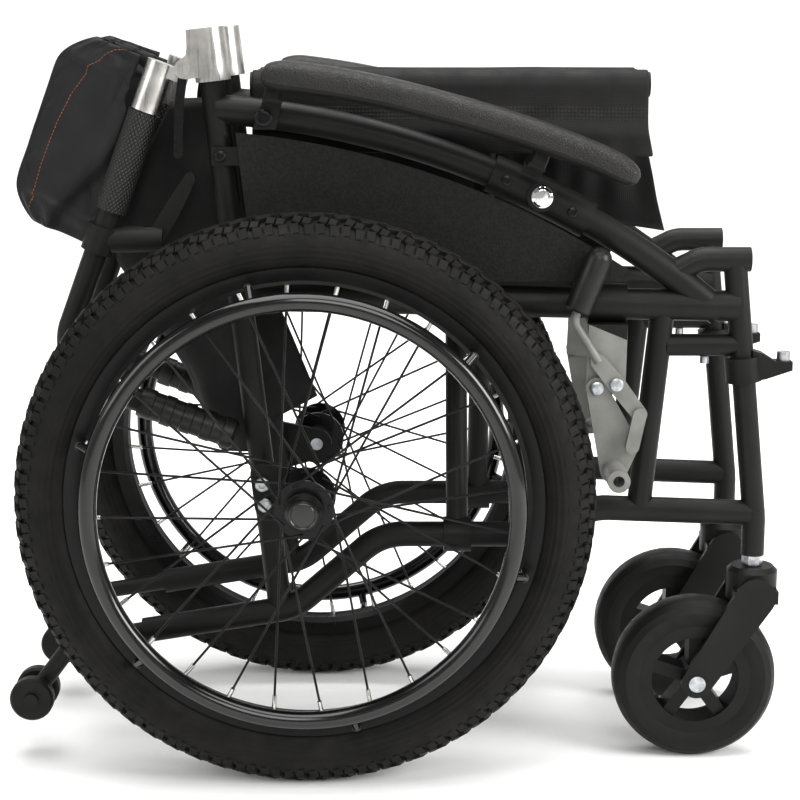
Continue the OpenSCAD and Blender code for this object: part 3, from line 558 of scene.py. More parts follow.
def round_cane(points):
    spots = []
    for p in points:
        along, behind = along_cane(p)
        spots.append((math.atan2(p.y, behind), along))
    first = spots[0][0]
    whole_turns = [2 * math.pi * round((first - q) / (2 * math.pi)) for q, _ in spots]
    return [((q + more) * SLEEVE_R / MM, along / MM) for (q, along), more in zip(spots, whole_turns)]


for side in SIDES:
    split_finish(side + "_spokes", spoke_wire, nickel, is_nipple)
    split_finish(side + "_cane", powder_coat, braid, is_sleeve, round_cane)
    split_finish(side + "_hardware", zinc, black_oxide, is_black_screw)
    split_finish(side + "_caster_fork", powder_coat, zinc, is_caster_bolt)
    split_finish(side + "_brake_plate", brake_paint, moulded_nylon, is_brake_clamp)
    split_finish(side + "_back_socket", satin_aluminium, black_oxide, is_release_lever)

# %% [markdown]
# Tread blocks and stitches repeat by a rule, so they are work for Geometry Nodes. Every tree
# here takes a starting mesh and named sizes, and ends as plain mesh with one finish, because
# instances are lost in an export.

# %% Helpers for trees


def new_tree(name, start, sizes, result):
    """A tree with its geometry in and out, and an input for each size."""
    tree = bpy.data.node_groups.new(name, "GeometryNodeTree")
    tree.interface.new_socket(start, in_out="INPUT", socket_type="NodeSocketGeometry")
    sockets = {}
    for label, value in sizes.items():
        kind = "NodeSocketInt" if isinstance(value, int) else "NodeSocketFloat"
        sockets[label] = tree.interface.new_socket(label, in_out="INPUT", socket_type=kind)
        sockets[label].default_value = value
    tree.interface.new_socket(result, in_out="OUTPUT", socket_type="NodeSocketGeometry")
    return tree, sockets


def end_tree(tree, geometry, finish):
    real = add(tree, "GeometryNodeRealizeInstances", links={0: geometry})
    coat = add(tree, "GeometryNodeSetMaterial", values={"Material": finish},
               links={"Geometry": real.outputs[0]})
    add(tree, "NodeGroupOutput", links={0: coat.outputs[0]})


def from_tree(name, start, tree, sockets, sizes):
    """The tree's result on a starting object, as a plain mesh object. The start is removed."""
    modifier = start.modifiers.new("tree", "NODES")
    modifier.node_group = tree
    for label, value in sizes.items():
        modifier[sockets[label].identifier] = value
    bpy.context.view_layer.update()
    ready = start.evaluated_get(bpy.context.evaluated_depsgraph_get())
    mesh = bpy.data.meshes.new_from_object(ready)
    start.modifiers.remove(modifier)
    bpy.data.objects.remove(start)
    return add_object(name, mesh)


# %% [markdown]
# The tyre is the chair's most telling part. Its carcass is a smooth ring with three thin
# ridges on each sidewall. The tread is blocks in rows: two rows on each half of the crown and
# one on each shoulder, the outer two with a cut across every block, and thin lugs that run
# down the sidewall. Each row is a ring of points that carries one chamfered block, turned to
# lie on the section's curve.

# %% Tread blocks
# Length along the turn, width, height and number of parts of each block, in millimetres.
BLOCKS = {
    "crown": (15.5, 8.0, 3.9, 1),
    "middle": (16.5, 9.0, 3.5, 2),
    "shoulder": (18.0, 10.5, 2.8, 2),
    "long_lug": (7.5, 13.0, 1.3, 1),
    "short_lug": (6.0, 7.0, 1.2, 1),
}
CUT, BLOCK_FOOT = 0.8, -2.5
SQUARE = ((-1, -1), (1, -1), (1, 1), (-1, 1))


def block_mesh(name, length, width, height, parts):
    """Chamfered blocks with thin cuts between them: foot on the carcass, X is outwards."""
    piece = (length - CUT * (parts - 1)) / parts
    shells = []
    for k in range(parts):
        middle = (k - (parts - 1) / 2) * (piece + CUT)
        rows = []
        for level, share in ((BLOCK_FOOT, 1.0), (height * 0.76, 0.96), (height, 0.82)):
            along, across = piece / 2 * share, width / 2 * share
            rows.append([Vector((level, middle + u * along, v * across)) / MM for u, v in SQUARE])
        shells.append(skin(rows))
    made = new_piece(name, *joined(shells))
    made.data.shade_flat()
    return made


blocks = {kind: block_mesh(kind + "_block", *sizes) for kind, sizes in BLOCKS.items()}
print("tread blocks:", ", ".join(blocks))

# %% Tread tree
TYRE_MID, SECTION_R = 228.0, 22.6
TYRE_SIZES = {"Blocks a turn": 70, "Section middle": TYRE_MID / MM, "Section radius": SECTION_R / MM}
# Block, lean on the section, shift by a share of the pitch, yaw and swell of the section.
TREAD_ROWS = (
    ("crown", 11, 0.0, 22, 1.0),
    ("middle", 33, 0.5, -16, 1.0),
    ("shoulder", 55, 0.0, 6, 1.03),
    ("long_lug", 76, 0.0, 0, 1.09),
    ("short_lug", 71, 0.5, 0, 1.08),
)


def tread_row(tree, given, block, lean, shift, yaw, swell):
    """One ring of blocks in the tree, as instances."""
    count, middle, radius = (given.outputs[label] for label in TYRE_SIZES)
    ring = add(tree, "GeometryNodePoints", links={"Count": count})
    index = add(tree, "GeometryNodeInputIndex")
    shifted = add(tree, "ShaderNodeMath", settings={"operation": "ADD"},
                  values={1: shift}, links={0: index.outputs[0]})
    turn = add(tree, "ShaderNodeMath", settings={"operation": "DIVIDE"},
               links={0: shifted.outputs[0], 1: count})
    angle = add(tree, "ShaderNodeMath", settings={"operation": "MULTIPLY"},
                values={1: 2 * math.pi}, links={0: turn.outputs[0]})
    out = add(tree, "ShaderNodeMath", settings={"operation": "MULTIPLY_ADD"},
              values={1: math.cos(lean) * swell}, links={0: radius, 2: middle})
    up = add(tree, "ShaderNodeMath", settings={"operation": "MULTIPLY"},
             values={1: math.sin(lean) * swell}, links={0: radius})
    flat = []
    for wave in ("COSINE", "SINE"):
        share = add(tree, "ShaderNodeMath", settings={"operation": wave}, links={0: angle.outputs[0]})
        flat.append(add(tree, "ShaderNodeMath", settings={"operation": "MULTIPLY"},
                        links={0: out.outputs[0], 1: share.outputs[0]}))
    spot = add(tree, "ShaderNodeCombineXYZ",
               links={"X": flat[0].outputs[0], "Y": flat[1].outputs[0], "Z": up.outputs[0]})
    moved = add(tree, "GeometryNodeSetPosition",
                links={"Geometry": ring.outputs[0], "Position": spot.outputs[0]})
    about = add(tree, "ShaderNodeCombineXYZ", links={"Z": angle.outputs[0]})
    face_out = add(tree, "FunctionNodeEulerToRotation", links={0: about.outputs[0]})
    tilt = add(tree, "FunctionNodeRotateRotation", settings={"rotation_space": "LOCAL"},
               values={"Rotate By": (0, -lean, 0)}, links={"Rotation": face_out.outputs[0]})
    swing = add(tree, "FunctionNodeRotateRotation", settings={"rotation_space": "LOCAL"},
                values={"Rotate By": (yaw, 0, 0)}, links={"Rotation": tilt.outputs[0]})
    shape = add(tree, "GeometryNodeObjectInfo", values={"Object": block})
    return add(tree, "GeometryNodeInstanceOnPoints",
               links={"Points": moved.outputs[0], "Instance": shape.outputs["Geometry"],
                      "Rotation": swing.outputs[0]})


tread, tread_sockets = new_tree("tread_rows", "Carcass", TYRE_SIZES, "Tyre")
given = add(tread, "NodeGroupInput")
join = add(tread, "GeometryNodeJoinGeometry", links={"Geometry": given.outputs["Carcass"]})
for hand, first in ((1, 0.0), (-1, 0.5)):
    for kind, lean, shift, yaw, swell in TREAD_ROWS:
        row = tread_row(tread, given, blocks[kind], rad(lean * hand), first + shift,
                        rad(yaw * hand), swell)
        tread.links.new(row.outputs[0], join.inputs["Geometry"])
end_tree(tread, join.outputs[0], tyre_rubber)
print("rows of tread:", 2 * len(TREAD_ROWS))

# %% Tyres
CARCASS_TALL, CARCASS_WIDE, CARCASS_FOOT = 22.4, 26.2, 211.5
WALL_FROM, WALL_STRETCH = rad(60), 1.03
RIDGES, RIDGE_TALL, RIDGE_HALF = (215.5, 219.5, 225.0), 0.9, 0.7
BEAD = ((206.5, 13.0), (208.5, 15.8), (211.0, 16.4))
RING_STEPS = 160


def carcass_section():
    """Radius and offset round the section, from one bead over the crown to the other."""
    crown = []
    for step in range(101):
        a = rad(150 - 3 * step)
        swell = min(1, abs(a) / WALL_FROM) ** 2
        wide = SECTION_R + (CARCASS_WIDE - SECTION_R) * swell
        r = TYRE_MID + CARCASS_TALL * math.cos(a) * (1 if math.cos(a) > 0 else WALL_STRETCH)
        wide += sum(RIDGE_TALL * hump(r, ridge, RIDGE_HALF) for ridge in RIDGES)
        if r > CARCASS_FOOT:
            crown.append((r, wide * math.sin(a)))
    return [*BEAD, *crown, *((r, -y) for r, y in reversed(BEAD))]


for side in SIDES:
    rows = []
    for step in range(RING_STEPS):
        a = 2 * math.pi * step / RING_STEPS
        rows.append([Vector((r * math.cos(a), r * math.sin(a), y)) / MM for r, y in carcass_section()])
    rows.append(rows[0])
    carcass = new_piece(side + "_carcass", *skin(rows, capped=False), tyre_rubber)
    tyre = from_tree(side + "_knobbly_tyre", carcass, tread, tread_sockets, TYRE_SIZES)
    upright = Matrix.Rotation(rad(90 if side == "right" else -90), 4, "X")
    tyre.data.transform(Matrix.Translation(place(side, 0, -WHEEL_OUT, AXLE_Z)) @ upright)
    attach(tyre, side + "_wheel")
    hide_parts(side + "_tyre")
    print(tyre.name, len(tyre.data.polygons), "faces")
for block in blocks.values():
    bpy.data.objects.remove(block)

# %% [markdown]
# The armrest pad runs above the arm tube and leaves it towards its nose. It is a loft of
# rounded sections on a smooth plastic base: the grained skin ends in a line that is pressed
# in along the lower edge. The arm is an arc, so a place on it is an angle and a radius.

# %% Armrest sections
ARC_MID = (-126.6, -171.4)
REST_FROM, REST_SWEEP = 6.6, 23.7
REST_WIDE, REST_TALL, REST_IN = 44.0, 24.0, -19.0
REST_STEPS, REST_RING = 120, 56
# The bracket's tabs were made for a pad whose top rises along the arc from this radius.
TAB_TOP, TAB_FROM, TAB_SWEEP, TAB_RISE = 806.0, 6.5, 27.0, 12.0
TOP_OVER, TOP_RISE, UNDER_OVER, UNDER_RISE = 9, 9, 5, 12
RISE_FROM, RISE_POWER = 0.45, 1.3
NOSE_FROM, NOSE_DROP = 0.86, 3.0
# The ends round off over a part of the length, down to a least height and width.
END_PARTS, END_TALL, END_WIDE = 14, 0.35, 0.6
SIDE_POWER, TOP_POWER, BASE_POWER = 0.6, 0.72, 0.5
PRESSED_AT, PRESSED_HALF, PRESSED_DEEP, PRESSED_PARTS = -0.42, 0.09, 0.045, 30
BASE_BELOW = -0.19


def on_arc(side, degrees, r, y):
    a = rad(degrees)
    return place(side, ARC_MID[0] + r * math.sin(a), y, ARC_MID[1] + r * math.cos(a))


def rest_levels(degrees):
    """Radii of the pad's top, of its underside and of the tabs that carry it."""
    tab_top = TAB_TOP + TAB_RISE * (degrees - TAB_FROM) / TAB_SWEEP
    along = (degrees - REST_FROM) / REST_SWEEP
    rise = (max(0, along - RISE_FROM) / (1 - RISE_FROM)) ** RISE_POWER
    tab = tab_top - REST_TALL
    return tab_top + TOP_OVER + TOP_RISE * rise, tab + UNDER_OVER + UNDER_RISE * rise, tab


def signed_power(value, power):
    return math.copysign(abs(value) ** power, value)


def rest_rows(side):
    rows = []
    for i in range(REST_STEPS + 1):
        t = i / REST_STEPS
        degrees = REST_FROM + REST_SWEEP * t
        top, under, _ = rest_levels(degrees)
        to_end = min(t, 1 - t)
        round_off = math.sqrt(max(0, 1 - (1 - min(1, to_end * END_PARTS)) ** 2))
        end = END_TALL + (1 - END_TALL) * round_off
        middle = (top + under) / 2 - NOSE_DROP * (max(0, t - NOSE_FROM) / (1 - NOSE_FROM)) ** 2
        row = []
        for j in range(REST_RING):
            q = 2 * math.pi * j / REST_RING
            across = signed_power(math.cos(q), SIDE_POWER)
            up = signed_power(math.sin(q), TOP_POWER if math.sin(q) > 0 else BASE_POWER)
            line = PRESSED_DEEP * hump(up, PRESSED_AT, PRESSED_HALF) * min(1, to_end * PRESSED_PARTS)
            half_wide = (1 - line) * (END_WIDE + (1 - END_WIDE) * end) * REST_WIDE / 2
            row.append(on_arc(side, degrees, middle + up * end * (top - under) / 2,
                              REST_IN - REST_WIDE / 2 + across * half_wide))
        rows.append(row)
    return rows


# %% [markdown]
# Two blocks with cut corners carry each pad on the tabs of its bracket.

# %% Armrest pads and their blocks
BLOCKS_AT, BLOCK_Y = (7.35, 24.5), -33.0
BLOCK_HALF_DEGREES, BLOCK_HALF_WIDE = 0.55, 11.0
CUT_SQUARE = ((-1, -0.8), (-0.8, -1), (0.8, -1), (1, -0.8), (1, 0.8), (0.8, 1), (-0.8, 1), (-1, 0.8))

for side in SIDES:
    pad = new_piece(side + "_armrest_cushion", *skin(rest_rows(side)), armrest_skin, moulded_nylon)
    for face in pad.data.polygons:
        turn = 2 * math.pi * (face.index % REST_RING + 0.5) / REST_RING
        face.material_index = int(math.sin(turn) < BASE_BELOW)
    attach(pad, side + "_armrest")
    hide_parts(side + "_armrest_pad")
    for number, degrees in enumerate(BLOCKS_AT):
        _, under, tab = rest_levels(degrees)
        rows = []
        for r, share in ((tab - 0.5, 1.0), (under - 1.0, 0.94), (under + 3.0, 0.9)):
            turn, wide = share * BLOCK_HALF_DEGREES, share * BLOCK_HALF_WIDE
            rows.append([on_arc(side, degrees + u * turn, r, BLOCK_Y + v * wide) for u, v in CUT_SQUARE])
        block = new_piece(side + "_pad_block_" + str(number + 1), *skin(rows), moulded_nylon)
        block.data.shade_flat()
        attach(block, side + "_armrest")
    print(pad.name, len(pad.data.polygons), "faces on", len(BLOCKS_AT), "blocks")

# %% [markdown]
# Screw heads are turned shapes with a six-sided socket. The hub's cap and the rivets of the
# brake are turned too. A profile is a list of radius, height and whether the ring is
# six-sided, which pulls its radius in between its corners.

# %% Turned heads
HEAD_STEPS, HEAD_CORNER = 36, rad(35)
SIXTH = math.pi / 3
SOCKET = ((1.0, -0.2, False), (1.0, 0.5, False), (0.9, 1.1, False), (0.62, 1.5, False),
          (0.56, 1.5, True), (0.52, 0.1, True))
RIVET = ((1.0, -0.2, False), (0.98, 0.4, False), (0.8, 0.9, False), (0.4, 1.2, False),
         (0.05, 1.3, False))
CAP = ((1.0, -0.2, False), (0.98, 0.5, False), (0.9, 0.8, False), (0.86, 0.4, False),
       (0.82, 0.4, False), (0.78, 0.9, False), (0.4, 1.3, False), (0.05, 1.4, False))


def turned(side, x, z, y, radius, profile):
    rows = []
    for share, up, six in profile:
        row = []
        for k in range(HEAD_STEPS):
            q = 2 * math.pi * k / HEAD_STEPS
            reach = radius * share
            if six:
                reach *= math.cos(SIXTH / 2) / math.cos(q % SIXTH - SIXTH / 2)
            row.append(place(side, x + reach * math.cos(q), y - up, z + reach * math.sin(q)))
        rows.append(row)
    return skin(rows)


def heads(name, side, body, finish, spots, profile):
    """One piece for all the heads of a kind on a side. A spot is x, z, y and radius."""
    made = new_piece(name, *joined(turned(side, *spot, profile) for spot in spots), finish)
    made.data.set_sharp_from_angle(angle=HEAD_CORNER)
    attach(made, body)
    print(name, len(spots))


# %% Screws, bolts, rivets and hub caps
POST_FOOT, POST_LEAN = (-27, 138), 0.11297


def post_x(z):
    """The rear post leans back, so its middle line depends on the height."""
    return POST_FOOT[0] - (z - POST_FOOT[1]) * POST_LEAN


GUARD_SCREW_Z, AXLE_BOLTS_Z = 553, (241, 260)
SCREWS = ((-35, 586.6, -25.5, 7.5), (176, 532.2, -20.05, 4.5), (234, 504.4, -20.05, 4.5),
          (post_x(GUARD_SCREW_Z), GUARD_SCREW_Z, -16.65, 5.0))
AXLE_BOLTS = [(post_x(z), z, -21.35, 6.5) for z in AXLE_BOLTS_Z]
BRAKE_RIVETS = ((257, 350, -31, 6.0), (274, 354, -35.5, 6.0))
HUB_CAP = (0, AXLE_Z, -111.5, 12.8)

for side in SIDES:
    body = side + "_frame"
    heads(side + "_socket_screws", side, body, black_oxide, SCREWS, SOCKET)
    heads(side + "_axle_mount_bolts", side, body, zinc, AXLE_BOLTS, SOCKET)
    heads(side + "_brake_rivets", side, body, zinc, BRAKE_RIVETS, RIVET)
    heads(side + "_hub_cap", side, side + "_wheel", hand_rim_black, [HUB_CAP], CAP)

# %% [markdown]
# Each half of the padded back is two leaves with a crease between them, sewn to the cane in
# front and free in the middle. It is made as it is in a workshop: two layers are cut and
# sewn flat along their edges and along the crease, a cloth simulation fills them with a
# little pressure until they swell and pucker, and the filled pad is then folded.

# %% Flat pads
LEAF_W, LEAF_LO, LEAF_HI, LEAF_T = 102.5, 2.0, 180.0, 14.0
PAD_FROM, PAD_TO = 15.0, 2 * LEAF_W - 3.2
PAD_ROWS, PAD_COLUMNS = 44, 52
START_LIFT, LIFT_POWER = LEAF_T * 0.36, 0.6
EDGE_ROWS, EDGE_COLUMNS = 9, 12
WAIST, WAIST_LEAST = 16, 0.3
SEWN_FLAT, SEWN_NEAR = 1e-6, 2.0


def pad_layer(layer):
    """One layer of the flat pad. It meets the other at the edges and is drawn in at the crease."""
    rows = []
    for i in range(PAD_ROWS + 1):
        t = i / PAD_ROWS
        row = []
        for j in range(PAD_COLUMNS + 1):
            k = j / PAD_COLUMNS
            a = PAD_FROM + (PAD_TO - PAD_FROM) * k
            border = min(1, EDGE_ROWS * t * (1 - t)) * min(1, EDGE_COLUMNS * k * (1 - k))
            waist = WAIST_LEAST + (1 - WAIST_LEAST) * min(1, abs(a - LEAF_W) / WAIST)
            lift = layer * border ** LIFT_POWER * waist * START_LIFT
            row.append(Vector(((LEAF_HI - LEAF_LO) * t, a, lift)) / MM)
        rows.append(row)
    return skin(rows, closed_ring=False)


def flat_pad(name):
    """The pad before it is filled, and its points along edges and crease."""
    made = new_piece(name, *joined(pad_layer(layer) for layer in (1, -1)), back_nylon)
    sewn = [v.index for v in made.data.vertices
            if abs(v.co.z) < SEWN_FLAT or abs(v.co.y * MM - LEAF_W) < SEWN_NEAR]
    return made, sewn


# %% Filling by cloth simulation
PRESSURE, SHRINK, FRAMES, MOST_MOVE = 4.0, -0.05, 20, 0.005


def fill(pad, sewn):
    """Where the pad's points lie after a few frames of gentle pressure, seams held."""
    begun = [v.co.copy() for v in pad.data.vertices]
    seams = pad.vertex_groups.new(name="seams")
    seams.add(sewn, 1.0, "REPLACE")
    cloth = pad.modifiers.new("cloth", "CLOTH")
    cloth.settings.vertex_group_mass = "seams"
    cloth.settings.use_pressure = True
    cloth.settings.uniform_pressure_force = PRESSURE
    cloth.settings.shrink_min = SHRINK
    cloth.settings.effector_weights.gravity = 0.0
    for number in range(1, FRAMES + 1):
        bpy.context.scene.frame_set(number)
    ready = pad.evaluated_get(bpy.context.evaluated_depsgraph_get())
    ended = [v.co.copy() for v in ready.data.vertices]
    pad.modifiers.remove(cloth)
    pad.vertex_groups.remove(seams)
    bpy.context.scene.frame_set(1)
    moves = [e - b for b, e in zip(begun, ended)]
    print(pad.name, "moved by up to", round(max(m.length for m in moves) * MM, 2), "mm")
    return [b + m * min(1, MOST_MOVE / max(m.length, 1e-9)) for b, m in zip(begun, moves)]


# %% [markdown]
# Folding bends the filled pad at its crease, so that the outer leaf runs back from the cane
# and the inner leaf forward again. On the way the pad is drawn back from the hinge, pulled in
# at the crease's ends, crumpled towards its foot and tucked in behind the cane.

# %% Folded back
LEAF_A = rad(67.03)
HINGE_TO, HINGE_EDGE, HINGE_BACK, HINGE_WIDE = 54, 8, 6, 25
PULL, PULL_PARTS, PULL_WIDE = 30, 5, 50
CRUMPLE, CRUMPLE_FROM, CRUMPLE_HALF, CRUMPLE_RATE = 5.0, 0.45, 45, (0.05, 0.045)
TUCK_S = (40, 60, 77, 99, 124, 147, 166, 180)
TUCK_A = (4, 8, 14, 24, 36, 49, 57, 62)
TUCK_MORE, TUCK_WIDE, TUCK_DEEP = 4, 16, 13


def leaf_point(side, s, a, lift):
    """s along the cane, a across the folded cloth from the cane, lift off its middle surface."""
    outer = a <= LEAF_W
    behind = a if outer else 2 * LEAF_W - a
    back = behind * math.sin(LEAF_A) + lift * math.cos(LEAF_A)
    y = a * math.cos(LEAF_A) + (-lift if outer else lift) * math.sin(LEAF_A)
    x = CANE_FOOT[0] + CANE_DIR[0] * s + CANE_BACK[0] * back
    z = CANE_FOOT[1] + CANE_DIR[1] * s + CANE_BACK[1] * back
    return place(side, x, y, z)


def folded(side, s, a, lift, seed):
    """Where a point of the filled pad goes, and its place on the cloth."""
    edge = min(s - LEAF_LO, LEAF_HI - s) / (LEAF_HI - LEAF_LO)
    at_hinge = max(0, min(1, (HINGE_TO - s) / HINGE_EDGE))
    a += HINGE_BACK * max(0, 1 - (a - PAD_FROM) / HINGE_WIDE) * at_hinge
    pull = PULL * max(0, 1 - edge * PULL_PARTS) ** 2 * max(0, 1 - abs(a - LEAF_W) / PULL_WIDE)
    crumple = max(0, s / LEAF_HI - CRUMPLE_FROM) * hump(a, LEAF_W, CRUMPLE_HALF)
    lift += CRUMPLE * crumple * noise.noise(Vector((s * CRUMPLE_RATE[0], a * CRUMPLE_RATE[1], seed)))
    tuck = max(0, min(1, (np.interp(s, TUCK_S, TUCK_A) + TUCK_MORE - a) / TUCK_WIDE))
    lift -= TUCK_DEEP * tuck * tuck * (3 - 2 * tuck)
    spot = leaf_point(side, s, a, lift) - Vector((CANE_BACK[0], 0, CANE_BACK[1])) * pull / MM
    return spot, (s / MM, a / MM)


def back_half(side, seed):
    made, sewn = flat_pad(side + "_back_half")
    threads = []
    for v, spot in zip(made.data.vertices, fill(made, sewn)):
        v.co, uv = folded(side, LEAF_LO + spot.x * MM, spot.y * MM, spot.z * MM, seed)
        threads.append(uv)
    layer = made.data.uv_layers.new(name="threads")
    for loop in made.data.loops:
        layer.data[loop.index].uv = threads[loop.vertex_index]
    smooth = made.modifiers.new("smooth", "SUBSURF")
    smooth.levels = smooth.render_levels = 1
    bpy.context.view_layer.update()
    ready = made.evaluated_get(bpy.context.evaluated_depsgraph_get())
    plain = bpy.data.meshes.new_from_object(ready)
    made.modifiers.remove(smooth)
    made.data = plain
    return made


BACK_SEEDS = (4.0, 24.0)

for side, seed in zip(SIDES, BACK_SEEDS):
    half = back_half(side, seed)
    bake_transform(half)
    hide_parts(side + "_leaf_outer", side + "_leaf_inner")
    print(half.name, len(half.data.polygons), "faces")

# %% [markdown]
# The seat cloth hangs in a fold between the two rails. It is one sheet: it starts outside
# one rail, goes over it, down to the fold and up over the other rail. Its flat size is the
# rail's length by the run of this section. A simulation would have to start from the open
# seat, so the hang, the loose flaps and the creases at the nose are drawn in code instead.

# %% Seat cloth's section
RAIL_Y, RAIL_Z, RAIL_R = 49.0, 613.6, 11.0
OVER_RAIL = RAIL_R + 1.2
FOLD_Y, FOLD_Z = 2.0, 487.0
HANG_BELLY, HANG_POWER, HANG_RISE = 0.9, 1.6, 1.25
HANG_STEPS, RAIL_STEPS, FLAP_STEPS = 24, 16, 10
FLAP_STEP, FLAP_LEAN = 6.0, 0.25


def seat_path():
    """Half of the sheet's section from the fold in the middle to its outer hem, in millimetres."""
    path = [(FOLD_Y, FOLD_Z)]
    for step in range(1, HANG_STEPS + 1):
        f = step / HANG_STEPS
        y = (RAIL_Y - OVER_RAIL) * ((1 - HANG_BELLY) * f + HANG_BELLY * f ** HANG_POWER)
        path.append((y, FOLD_Z + (RAIL_Z - FOLD_Z) * f ** HANG_RISE))
    for step in range(1, RAIL_STEPS + 1):
        a = math.pi * step / RAIL_STEPS
        path.append((RAIL_Y - OVER_RAIL * math.cos(a), RAIL_Z + OVER_RAIL * math.sin(a)))
    for step in range(1, FLAP_STEPS + 1):
        path.append((RAIL_Y + OVER_RAIL + FLAP_LEAN * step, RAIL_Z - FLAP_STEP * step))
    return path


half_path = seat_path()
seat_section = [(-y, z) for y, z in reversed(half_path)] + half_path[1:]
runs = [0.0]
for (y0, z0), (y1, z1) in zip(seat_section, seat_section[1:]):
    runs.append(runs[-1] + math.hypot(y1 - y0, z1 - z0))
print("seat cloth's section runs", round(runs[-1], 1), "mm")

# %% Seat cloth's rows
SEAT_FROM, SEAT_LONG, SEAT_STEPS = -48, 351, 90
# Places are measured from the free hem along the section, and moves are millimetres.
FLAP_LOOSE, FLAP_OUT, FLAP_SWAY, FLAP_DROP, FLAP_DIP = 62, 0.5, 1.8, 1.5, 4.0
HANG_AT, HANG_HALF, HANG_SWAY, HANG_DROP = 150, 60, 1.6, 1.5
HEM_AT, HEM_HALF, HEM_ROLL = 18, 9, 5.0
SEAM_AT, SEAM_HALF, SEAM_ROLL = 58, 2.5, 1.6
LOW_FROM, LOW_SPAN, FOLD_SOFT = 575, 90, 12
CREASE_FROM, CREASE_TALL, CREASE_TURN, CREASE_LEAN = 0.5, 4.5, 0.24, 0.02
# The nose is the front part of the cloth, which hangs ahead of the rails and sags.
NOSE_PART, FLAP_PART = 0.18, 0.2
NOSE_AHEAD, NOSE_TIP, TIP_LOW, NOSE_SAG, SAG_LOW = 24, 8, 0.7, 20, 0.5
FOLD_RATE, FOLD_SEED = (0.022, 0.012), 2.0
FINE_RATE, FINE_SEED = (0.06, 0.03), 7.0


def seat_point(x, t, y, z, run):
    """A point of the section at x, moved by the cloth's folds. t runs from rear to nose."""
    free = min(run, runs[-1] - run)
    loose = max(0.0, 1 - free / FLAP_LOOSE)
    hang = hump(free, HANG_AT, HANG_HALF)
    fold = noise.noise(Vector((x * FOLD_RATE[0], run * FOLD_RATE[1], FOLD_SEED)))
    fine = noise.noise(Vector((x * FINE_RATE[0], run * FINE_RATE[1], FINE_SEED)))
    low = max(0, (LOW_FROM - z) / LOW_SPAN)
    out = 1 if y > 0 else -1
    roll = HEM_ROLL * hump(free, HEM_AT, HEM_HALF) + SEAM_ROLL * hump(free, SEAM_AT, SEAM_HALF)
    wave = math.sin(x * CREASE_TURN + CREASE_LEAN * run)
    crease = CREASE_TALL * min(1, low) * max(0, t - CREASE_FROM) / (1 - CREASE_FROM) * wave
    sway = loose * (FLAP_SWAY * fold + FLAP_OUT) + hang * HANG_SWAY * fine
    aside = out * (sway + min(1, abs(y) / FOLD_SOFT) * (crease + roll))
    dip = FLAP_DIP * max(0, t - (1 - FLAP_PART)) / FLAP_PART
    drop = hang * HANG_DROP * fold - loose * (dip + FLAP_DROP * fold)
    nose = max(0, t - (1 - NOSE_PART)) / NOSE_PART
    ahead = nose ** 2 * NOSE_AHEAD * min(1, low) + nose ** 4 * NOSE_TIP * max(0, low - TIP_LOW)
    sag = nose ** 2 * NOSE_SAG * max(0, low - SAG_LOW)
    return Vector((x + ahead + AXLE_X, y + aside, z + drop - sag)) / MM


seat_rows = []
for i in range(SEAT_STEPS + 1):
    t = i / SEAT_STEPS
    x = SEAT_FROM + SEAT_LONG * t
    seat_rows.append([seat_point(x, t, y, z, run) for (y, z), run in zip(seat_section, runs)])

# %% [markdown]
# A band of knitted mesh runs along each rail. The UV map holds each point's place on the flat
# sheet in metres, so the band is where that place lies within the band's two edges.

# %% Seat cloth
BAND = (0.031, 0.044)
SEAT_THICK = 0.0014

seat = new_piece("seat_cloth", *skin(seat_rows, closed_ring=False), seat_nylon, mesh_band)
layer = seat.data.uv_layers.new(name="threads")
spots = {}
for i, row in enumerate(seat_rows):
    for point, run in zip(row, runs):
        spots[tuple(round(c, 6) for c in point)] = (i * SEAT_LONG / SEAT_STEPS / MM, run / MM)
for loop in seat.data.loops:
    co = seat.data.vertices[loop.vertex_index].co
    layer.data[loop.index].uv = spots[tuple(round(c, 6) for c in co)]
whole = runs[-1] / MM
for face in seat.data.polygons:
    v = sum(layer.data[i].uv[1] for i in face.loop_indices) / len(face.loop_indices)
    face.material_index = int(BAND[0] < min(v, whole - v) < BAND[1])
thick = seat.modifiers.new("cloth", "SOLIDIFY")
thick.thickness = SEAT_THICK
thick.offset = 0.0
round_off = seat.modifiers.new("smooth", "SUBSURF")
round_off.levels = round_off.render_levels = 1
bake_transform(seat)
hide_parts("seat_sling")
print("seat cloth, flat:", 0.351, "by", round(whole, 3), "m")

# %% [markdown]
# Under the padded part the back is plain cloth. Folded, each half runs from its post back to a
# loose fold behind the wheel and forward again to the middle. On the real chair each half is
# drawn flat towards its own post when the chair opens; here each half is made only in its
# folded shape and rides on its own side frame.

# %% Lower back cloth's folds
# Height and place of the rear fold and of the middle line.
REAR_FOLD = ((277, -92), (343, -116), (400, -152), (452, -186), (480, -184), (540, -160), (598, -126))
MIDDLE_FOLD = ((322, 5), (470, -55), (598, -92))
SKIRT_TOP, SKIRT_FOOT, SKIRT_Y = 598.0, (283.0, 277.0, 322.0), (14.6, 44.0, 80.0)
SKIRT_ROWS, SKIRT_COLUMNS, SKIRT_THICK = 40, 32, 0.0012
TURN_HALF, TURN_IN = 0.16, 0.09
SKIRT_OUT, SKIRT_BACK = 3.0, 4.0
OUT_RATE, BACK_RATE, BACK_SEED = (2.4, 0.012), (1.2, 0.02), 5


